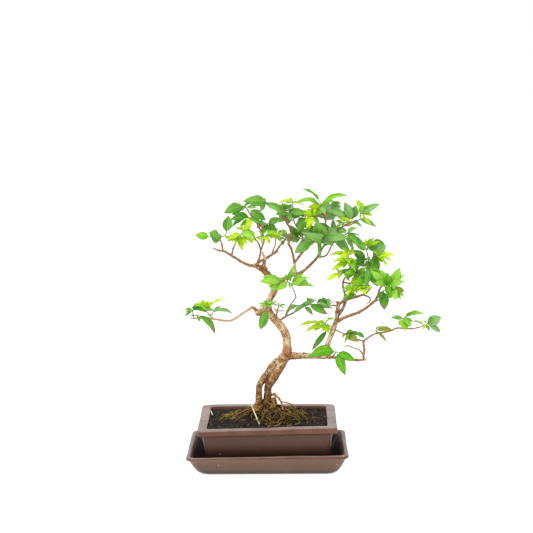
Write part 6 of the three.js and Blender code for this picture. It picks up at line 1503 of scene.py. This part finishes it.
def leaf_finish(name, blade_dark, blade_light, painted_sheen, vein, under, gloss, shine):
    """Leather-like green: cloudy from dark to light, with one half painted lighter, a painted sheen, pale
    veins, a paler under side and dry tips.
    """
    finish = Finish(name, Specular_IOR_Level=shine, Subsurface_Weight=0.1, Subsurface_Scale=0.004)
    finish.shader.inputs["Subsurface Radius"].default_value = (0.3, 1.0, 0.15)
    across, along, _ = finish.parts(finish.node("ShaderNodeUVMap", {"uv_map": "UVMap"}))
    middle = ((across - 0.5) * 2).size()
    chance = finish.own("chance")
    cloud = finish.noise(9, detail=3)
    aged = finish.own("aged")
    fine = finish.noise(1.2, detail=2)
    side_vein = ((along * SIDE_VEINS - middle * 3.2) * (2 * math.pi)).wave().between(0.72, 1.0)
    side_vein = side_vein * middle.between(0.02, 0.2) * (1 - middle.between(0.75, 0.95))
    rib = 1 - middle.between(0.03, 0.12)
    # Painted light: one half of each blade, tilted by the fold, is made lighter.
    painted_lit_half = across.between(0.46, 0.54)
    light = (cloud * 0.5 + chance * 0.95 + painted_lit_half * 0.26 - 0.28).between(0.15, 0.85)
    finish.color = finish.mix(light, blade_dark, blade_light)
    # Painted sheen: the lighter looks get a grey-green sheen laid over the blade.
    pale = chance.between(0.45, 0.95) * (cloud * 0.7 + painted_lit_half * 0.3 + middle * 0.15).between(0.2, 0.7)
    finish.lay(pale * 0.9, painted_sheen)
    finish.lay(side_vein * 0.26 + rib * 0.55, vein)
    finish.lay(middle.between(0.8, 1.0) * 0.45, blade_dark)
    finish.lay(finish.own("under") * 0.75, under)
    finish.lay(aged * (cloud * 0.9 + 0.45), (140, 142, 60))
    finish.lay(aged * fine.between(0.52, 0.66) * 0.7, (126, 76, 52))
    dry = (finish.own("dry") * (along - 0.62 + (fine - 0.5) * 0.25 + middle * 0.1) * 3).between(0.35, 0.7)
    finish.lay(dry, finish.mix(fine, (84, 52, 28), (176, 136, 92)))
    height = side_vein * -0.5 - rib * 0.8 + fine * 0.25 + cloud * 0.6
    finish.wear(Base_Color=finish.color, Roughness=gloss + fine * 0.12, Normal=finish.bump(height, 0.16))
    return finish


# Each kind: dark and light blade, painted sheen, vein and under side colours, roughness, specular level.
GREENS = {
    "mature": [(54, 122, 6), (106, 162, 48), (138, 174, 114), (144, 184, 96), (112, 156, 62), 0.38, 0.22],
    "fresh": [(74, 152, 4), (136, 194, 34), (142, 196, 72), (158, 204, 82), (132, 184, 52), 0.42, 0.14],
    "lime": [(142, 188, 10), (188, 220, 28), (166, 208, 30), (200, 226, 60), (160, 200, 24), 0.48, 0.08],
    "painted_light_lime": [(160, 208, 8), (208, 242, 30), (192, 234, 36), (218, 242, 70), (178, 216, 28), 0.48, 0.08],
}
# The brighter lime kind is painted light, for shoots that lie behind and under other leaves.
tones = {kind: leaf_finish(kind + "_leaf", *greens) for kind, greens in GREENS.items()}
stem_finish = Finish("young_stem", Roughness=0.5)
stem_cloud = stem_finish.noise(4, detail=3)
stem_finish.wear(Base_Color=stem_finish.mix(stem_cloud.between(0.35, 0.65), (96, 120, 48), (140, 98, 70)),
                 Normal=stem_finish.bump(stem_finish.noise(0.8), 0.08))

# How light a leaf of each look is, from 0 to 1, and of which kind of green; lighter looks take the painted
# sheen.
SHADE = {"pale": 1, "soft": 0.7, "mid": 0.45, "deep": 0, "rich": 0.12, "olive": 0.4, "dry": 0.4,
         "bright": 0.85, "vivid": 0.5}
KIND_OF = {"rich": "fresh", "vivid": "fresh", "bright": "fresh", "fresh": "fresh", "lime": "lime"}
# Shoots whose lime leaves are painted brighter, as painted light.
PAINTED_LIGHT_SHOOTS = {"right_fan_shoot", "prong_lime_shoot", "prong_low_lime_shoot", "yellow_shoot"}

# Each kind's waved edge, lobes, filled-out tip and width beside the rule's.
RIPPLE = {"mature": 0.14, "fresh": 0.2, "lime": 0.2}
LOBES = {"mature": 0.03, "fresh": 0.04, "lime": 0.05}
FULL = {"mature": 0.26, "fresh": 0.14, "lime": 0.1}
SLIM = {"mature": 0.92, "fresh": 0.86, "lime": 0.84}
KINDS = ["mature", "stem", "fresh", "lime"]
STEM_STEPS = 4
STEM_SIDES = 7

grown = [(*grow(heading, stem, rows), lesser) for heading, stem, rows, lesser in entries(SHOOTS)]
lesser_count = 0
for name, tone, points, radii, leaves, lesser in grown:
    for (at, *row), words in rows_of(lesser):
        add_leaf(leaves, name, clear_leaf(name, point_on(points, at), *row), words)
        lesser_count += 1

for name, tone, points, radii, leaves, lesser in grown:
    shoot = Surface(stored=("chance", "under", "dry", "aged"))
    shoot.tube(np.column_stack([points, radii]), STEM_STEPS, STEM_SIDES, kind=KINDS.index("stem"))
    for number, leaf in enumerate(leaves):
        look = next((word for word in leaf.words if word[0] != "x" and word != "tip"), tone)
        wider = next((float(word[1:]) for word in leaf.words if word[0] == "x"), 1)
        kind = KIND_OF.get(look, "mature")
        wave, phase, curl, chance = leaf_chance.random(4)
        behind = number >= len(leaves) - len(rows_of(lesser))
        shade = SHADE.get(look, 0.1 + chance * 0.6 if behind else 0.35 + chance * 0.65)
        dry = 2.5 * (look == "dry") + 1.0 * ("tip" in leaf.words)
        aged = float(look == "olive")
        grid, uv, under = leaf_grid(leaf, RIPPLE[kind] * (0.5 + wave), LOBES[kind], phase, -0.15 - 0.5 * curl,
                                    FULL[kind], SLIM[kind] * wider)
        shoot.rings(grid, kind=KINDS.index(kind), uv=uv, chance=shade, under=under, dry=dry, aged=aged)
    # Painted light: those shoots take the brighter lime.
    lime = tones["painted_light_lime" if name in PAINTED_LIGHT_SHOOTS else "lime"]
    finishes = [tones["mature"], stem_finish, tones["fresh"], lime]
    piece(name + "_leaves", shoot.mesh(name + "_leaves"), finishes, tone + "_leaf", name)
print("leaves:", sum(len(found[4]) for found in grown), "of them lesser:", lesser_count)

# %% [markdown]
# ## Soil
# Peaty potting soil: black crumbs a few millimetres wide, heaped a little round the trunk. The bed is one
# skin from wall to wall whose height is the mound plus three sizes of noise. Loose crumbs lie on it as small
# solids, because a bump alone looks smooth where the light grazes it.

# %% Soil bed
SOIL_EDGE = 65
BACK_RISE = 3.2
MOUND = (52, 36, 19)
BED_HALF_X, BED_HALF_Y, BED_CORNER = 85.1, 57.1, 4.5
BACK_WALL = 57
SOIL_LOW = POT_FLOOR + 1.6


def mound(x, y):
    """Height of the smooth bed: its edge height and a bell-shaped mound."""
    bell = np.exp(-((x / MOUND[0]) ** 2) - (y / MOUND[1]) ** 2)
    return SOIL_EDGE + BACK_RISE * np.clip(y / BACK_WALL, 0, 1) + MOUND[2] * bell


def crumbly(x, y):
    """Height of the clods and crumbs over the smooth bed: three sizes of noise."""
    flat = np.stack([x, y, np.zeros_like(x)], axis=-1)
    return 0.9 * soft_noise(flat, 7, 31) + 0.8 * soft_noise(flat, 3.2, 32) + 0.45 * soft_noise(flat, 1.5, 33)


BED_RINGS = 54
share = np.linspace(1, 0.02, BED_RINGS)
ring_rows = np.column_stack([BED_HALF_X * share, BED_HALF_Y * share, BED_CORNER * share, np.zeros(BED_RINGS)])
top_grid = rectangle_grid(ring_rows)
edge_hold = np.clip((1 - share) * 14, 0, 1)[:, None]
x, y, _ = np.moveaxis(top_grid, -1, 0)
top_grid[..., 2] = mound(x, y) + crumbly(x, y) * edge_hold
wall_rows = np.array([(76.6, 48.6, 4, SOIL_LOW), (78.8, 50.8, 4, SOIL_LOW + 1)])
bed = Surface()
bed.rings(np.concatenate([rectangle_grid(wall_rows), top_grid]))

soil_finish = Finish("peat", Specular_IOR_Level=0.2)
clod = soil_finish.noise(5, detail=4)
crumb_tone = soil_finish.noise(1.3, detail=3)
soil_finish.color = soil_finish.mix(crumb_tone.between(0.35, 0.7), (20, 16, 13), (58, 46, 38))
soil_finish.lay((clod - 0.5).between(0.02, 0.2) * 0.45, (70, 52, 34))
soil_finish.wear(Base_Color=soil_finish.color, Roughness=0.88 + crumb_tone * 0.1,
                 Normal=soil_finish.bump(crumb_tone, 0.5))
piece("soil_bed", bed.mesh("soil_bed"), [soil_finish], "soil", "soil")

# %% [markdown]
# ### Crumbs
# Each crumb is a dented ball of twenty faces. Its size, flattening and dents come from seeded chance.

# %% Crumbs
GOLDEN = (1 + math.sqrt(5)) / 2
ball = unit(np.array([(-1, GOLDEN, 0), (1, GOLDEN, 0), (-1, -GOLDEN, 0), (1, -GOLDEN, 0), (0, -1, GOLDEN),
                      (0, 1, GOLDEN), (0, -1, -GOLDEN), (0, 1, -GOLDEN), (GOLDEN, 0, -1), (GOLDEN, 0, 1),
                      (-GOLDEN, 0, -1), (-GOLDEN, 0, 1)]))
BALL_FACES = np.array([(0, 11, 5), (0, 5, 1), (0, 1, 7), (0, 7, 10), (0, 10, 11), (1, 5, 9), (5, 11, 4),
                       (11, 10, 2), (10, 7, 6), (7, 1, 8), (3, 9, 4), (3, 4, 2), (3, 2, 6), (3, 6, 8),
                       (3, 8, 9), (4, 9, 5), (2, 4, 11), (6, 2, 10), (8, 6, 7), (9, 8, 1)])
BALL_POINTS = len(ball)
FLATTENED = ((0.8, 1.3), (0.8, 1.3), (0.6, 0.9))
CRUMBS = 2600
chance = np.random.default_rng(7)


def on_bed(count, half_x, half_y):
    """Random places on the soil inside a rectangle, with the bed's height there."""
    x = chance.uniform(-half_x, half_x, count)
    y = chance.uniform(-half_y, half_y, count)
    return np.column_stack([x, y, mound(x, y) + crumbly(x, y)])


def crumbs(name, places, sizes):
    """Dented, flattened balls of these sizes at these places, as one mesh with a chance value for each."""
    count = len(places)
    dents = 1 + 0.28 * chance.standard_normal((count, BALL_POINTS)).clip(-1.4, 1.4)
    flatten = np.column_stack([chance.uniform(*limits, count) for limits in FLATTENED])
    shells = ball[None] * dents[..., None] * flatten[:, None] * sizes[:, None, None] + places[:, None]
    mesh = bpy.data.meshes.new(name)
    faces = (np.arange(count)[:, None, None] * BALL_POINTS + BALL_FACES[None]).reshape(-1, 3)
    mesh.from_pydata((shells.reshape(-1, 3) * MM).tolist(), [], faces.tolist())
    tints = mesh.attributes.new("chance", "FLOAT", "POINT")
    tints.data.foreach_set("value", np.repeat(chance.random(count), BALL_POINTS).astype(np.float32))
    return mesh


crumb_mesh = crumbs("soil_crumbs", on_bed(CRUMBS, 83, 55), chance.gamma(4, 0.28, CRUMBS).clip(0.5, 2.6))
crumb_finish = Finish("peat_crumbs", Specular_IOR_Level=0.25, Roughness=0.9)
tint = crumb_finish.own("chance")
crumb_finish.color = crumb_finish.mix(tint.between(0.1, 0.8), (18, 15, 12), (56, 45, 38))
crumb_finish.lay(tint.between(0.93, 0.97), (118, 98, 78))
crumb_finish.wear(Base_Color=crumb_finish.color, Normal=crumb_finish.bump(crumb_finish.noise(0.8), 0.2))
piece("soil_crumbs", crumb_mesh, [crumb_finish], "soil", "soil")

# %% [markdown]
# The foot of the trunk is lumpy: dead bark, old root ends and dry moss cling to it, from nearly black to
# ochre.

# %% Root crown
BURRS = 420
ROOT_CLUMPS = 60
CROWN_TOP = 97
CROWN_LEFT = -16
foot_skin = skin[(skin[:, 2] < CROWN_TOP) & (skin[:, 0] > CROWN_LEFT)]
root_line = smooth_route(np.column_stack(routes["root_twig"]), 6)[:14, :3]
clumps = root_line[chance.integers(0, len(root_line), ROOT_CLUMPS)] + chance.normal(0, 0.9, (ROOT_CLUMPS, 3))
burr_places = np.concatenate([foot_skin[chance.integers(0, len(foot_skin), BURRS)], clumps])
burr_mesh = crumbs("root_crown", burr_places, chance.gamma(4, 0.26, len(burr_places)).clip(0.5, 2.2))
burr_finish = Finish("root_crown", Specular_IOR_Level=0.2, Roughness=0.9)
burr_tint = burr_finish.own("chance")
burr_finish.color = burr_finish.mix(burr_tint.between(0.2, 0.7), (26, 16, 8), (118, 76, 30))
burr_finish.lay(burr_tint.between(0.65, 0.85), (200, 154, 76))
burr_finish.lay(burr_tint.between(0.86, 0.9), (104, 104, 28))
x, _, z = burr_finish.parts(burr_finish.place())
right_lump = x.between(4 * MM, 9 * MM) * z.between(78 * MM, 86 * MM)
burr_finish.lay(right_lump * burr_tint.between(0.15, 0.5), (196, 148, 72))
burr_finish.wear(Base_Color=burr_finish.color, Normal=burr_finish.bump(burr_finish.noise(0.7), 0.3))
piece("root_crown", burr_mesh, [burr_finish], "bark")

# %% [markdown]
# ### Moss and fine roots
# Round the trunk lies a mat of moss strands, olive, brown and green, with reddish surface roots running
# through it. Both are thin tapering tubes that wander over the bed: a root keeps its heading and turns
# slowly, a moss strand is short and arched. All of one kind are worked out together as one array.

# %% Strands over the soil
STRANDS_END_X, STRANDS_END_Y = 83.5, 55.5


def strands(places, headings, lengths, heights, sides, radii, bend, points, seed):
    """Tubes (strand, ring, side, 3) that start at their places, run by their headings and rise in an arch."""
    t = np.linspace(0, 1, points)[None, :]
    turn = headings[:, None] + bend[:, None] * t
    step = lengths[:, None] / (points - 1)
    x = places[:, :1] + np.cumsum(np.cos(turn) * step, axis=1)
    y = places[:, 1:2] + np.cumsum(np.sin(turn) * step, axis=1)
    wander = np.stack([x, y, np.zeros_like(x) + np.arange(len(x))[:, None] * 9.0], axis=-1)
    x = x + 1.2 * soft_noise(wander, 5, seed)
    y = y + 1.2 * soft_noise(wander, 5, seed + 1)
    x, y = np.clip(x, -STRANDS_END_X, STRANDS_END_X), np.clip(y, -STRANDS_END_Y, STRANDS_END_Y)
    z = mound(x, y) + crumbly(x, y) * 0.5 + heights[:, None] * np.sin(np.pi * np.clip(t * 0.9 + 0.1, 0, 1))
    line = np.stack([x, y, z], axis=-1)
    along = unit(np.gradient(line, axis=1))
    side_way = unit(np.cross(along, np.array([0.1, 0.2, 1.0])))
    rise_way = np.cross(side_way, along)
    angle = 2 * np.pi * np.arange(sides) / sides
    wide = radii[:, None] * (1 - 0.6 * t)
    ring = (np.cos(angle)[None, None, :, None] * side_way[:, :, None]
            + np.sin(angle)[None, None, :, None] * rise_way[:, :, None])
    return line[:, :, None] + ring * wide[..., None, None]


def gathered(name, grids, tints):
    """One mesh of many strands, each with its own chance value."""
    surface = Surface(stored=("chance",))
    for grid, tint_value in zip(grids, tints):
        surface.rings(grid, chance=tint_value)
    return surface.mesh(name)


MOSS = 1150
MOSS_CENTRE, MOSS_SPREAD, MOSS_END_X, MOSS_END_Y = [13, -8], [21, 19], 47, 53
TUFT = 46
TUFT_CENTRE, TUFT_SPREAD = [-56, -4], [4, 5]
spread = chance.standard_normal((MOSS, 2)) * MOSS_SPREAD + MOSS_CENTRE
inside = (np.abs(spread[:, 0] - MOSS_CENTRE[0]) < MOSS_END_X) & (np.abs(spread[:, 1]) < MOSS_END_Y)
spread = np.concatenate([spread[inside], chance.standard_normal((TUFT, 2)) * TUFT_SPREAD + TUFT_CENTRE])
moss_count = len(spread)
moss_tints = chance.random(moss_count)
moss_tints[-TUFT:] = 0.75 + 0.25 * moss_tints[-TUFT:]
moss_places = np.column_stack([spread, mound(spread[:, 0], spread[:, 1])])
moss_grids = strands(moss_places, headings=chance.uniform(0, 2 * math.pi, moss_count),
                     lengths=chance.uniform(5, 17, moss_count), heights=chance.uniform(0.6, 4.6, moss_count),
                     sides=3, radii=chance.uniform(0.24, 0.62, moss_count),
                     bend=chance.uniform(-1.6, 1.6, moss_count), points=6, seed=51)
moss_finish = Finish("moss", Roughness=0.85, Specular_IOR_Level=0.2)
moss_tint = moss_finish.own("chance")
moss_finish.color = moss_finish.mix(moss_tint.between(0.1, 0.6), (20, 13, 7), (74, 49, 22))
moss_finish.lay(moss_tint.between(0.6, 0.86), (184, 150, 70))
moss_finish.lay(moss_tint.between(0.88, 0.96), (104, 128, 36))
moss_finish.wear(Base_Color=moss_finish.color)
piece("moss", gathered("moss", moss_grids, moss_tints), [moss_finish], "soil")

ROOTS = 72
FOOT = (2, -1)
ROOT_REACH = (13, 9)
root_angle = chance.normal(-0.5, 1.3, ROOTS)
root_x = FOOT[0] + ROOT_REACH[0] * np.cos(root_angle)
root_y = FOOT[1] + ROOT_REACH[1] * np.sin(root_angle)
root_places = np.column_stack([root_x, root_y, np.zeros(ROOTS)])
root_grids = strands(root_places, headings=root_angle + chance.uniform(-0.5, 0.5, ROOTS),
                     lengths=chance.uniform(14, 48, ROOTS), heights=chance.uniform(0.4, 4.2, ROOTS), sides=6,
                     radii=chance.uniform(0.45, 1.05, ROOTS), bend=chance.uniform(-1.0, 1.0, ROOTS),
                     points=16, seed=71)
root_finish = Finish("root_skin", Roughness=0.75)
root_finish.color = root_finish.mix(root_finish.own("chance"), (74, 40, 20), (166, 114, 64))
root_finish.lay(root_finish.noise(2).between(0.4, 0.7) * 0.6, (70, 48, 30))
root_finish.wear(Base_Color=root_finish.color, Normal=root_finish.bump(root_finish.noise(0.8), 0.15))
piece("surface_roots", gathered("surface_roots", root_grids, chance.random(ROOTS)), [root_finish], "bark")

# %% [markdown]
# ## Dry stalks
# A cream-coloured stalk leans from the soil to the trunk, and a small yellow one lies in the left back
# corner.

# %% Stalks
STALK_ROUTE = [(-8, -53, 62.4, 0.8), (-12.5, -41, 70.6, 0.85), (-18, -27, 80.2, 0.8), (-24, -12, 90.4, 0.66)]
SMALL_STRAW = [(-85.2, 36, 70.6, 0.6), (-83.8, 29, 69.4, 0.7), (-82, 21, 66.8, 0.5)]
stalk, small = Surface(), Surface()
stalk.tube(STALK_ROUTE, steps=6, sides=10)
small.tube(SMALL_STRAW, steps=5, sides=8)
straw = Finish("dry_straw", Roughness=0.6)
straw_streak = straw.noise(2.5, straw.stretched(straw.place(), (1, 0.3, 0.3)))
straw.wear(Base_Color=straw.mix(straw_streak.between(0.35, 0.7), (244, 236, 206), (222, 204, 160)),
           Normal=straw.bump(straw.noise(0.5), 0.06))
piece("straw_stalk", stalk.mesh("straw_stalk"), [straw], "straw", "pale_stalk")
piece("small_straw", small.mesh("small_straw"), [straw], "straw")

# %% Floor finish
white = Finish("white_floor", Roughness=0.9, Specular_IOR_Level=0.0, Emission_Color=(1, 1, 1, 1),
               Emission_Strength=0.86)
white.wear(Base_Color=(0.3, 0.3, 0.3, 1))
floor.data.materials.append(white.material)
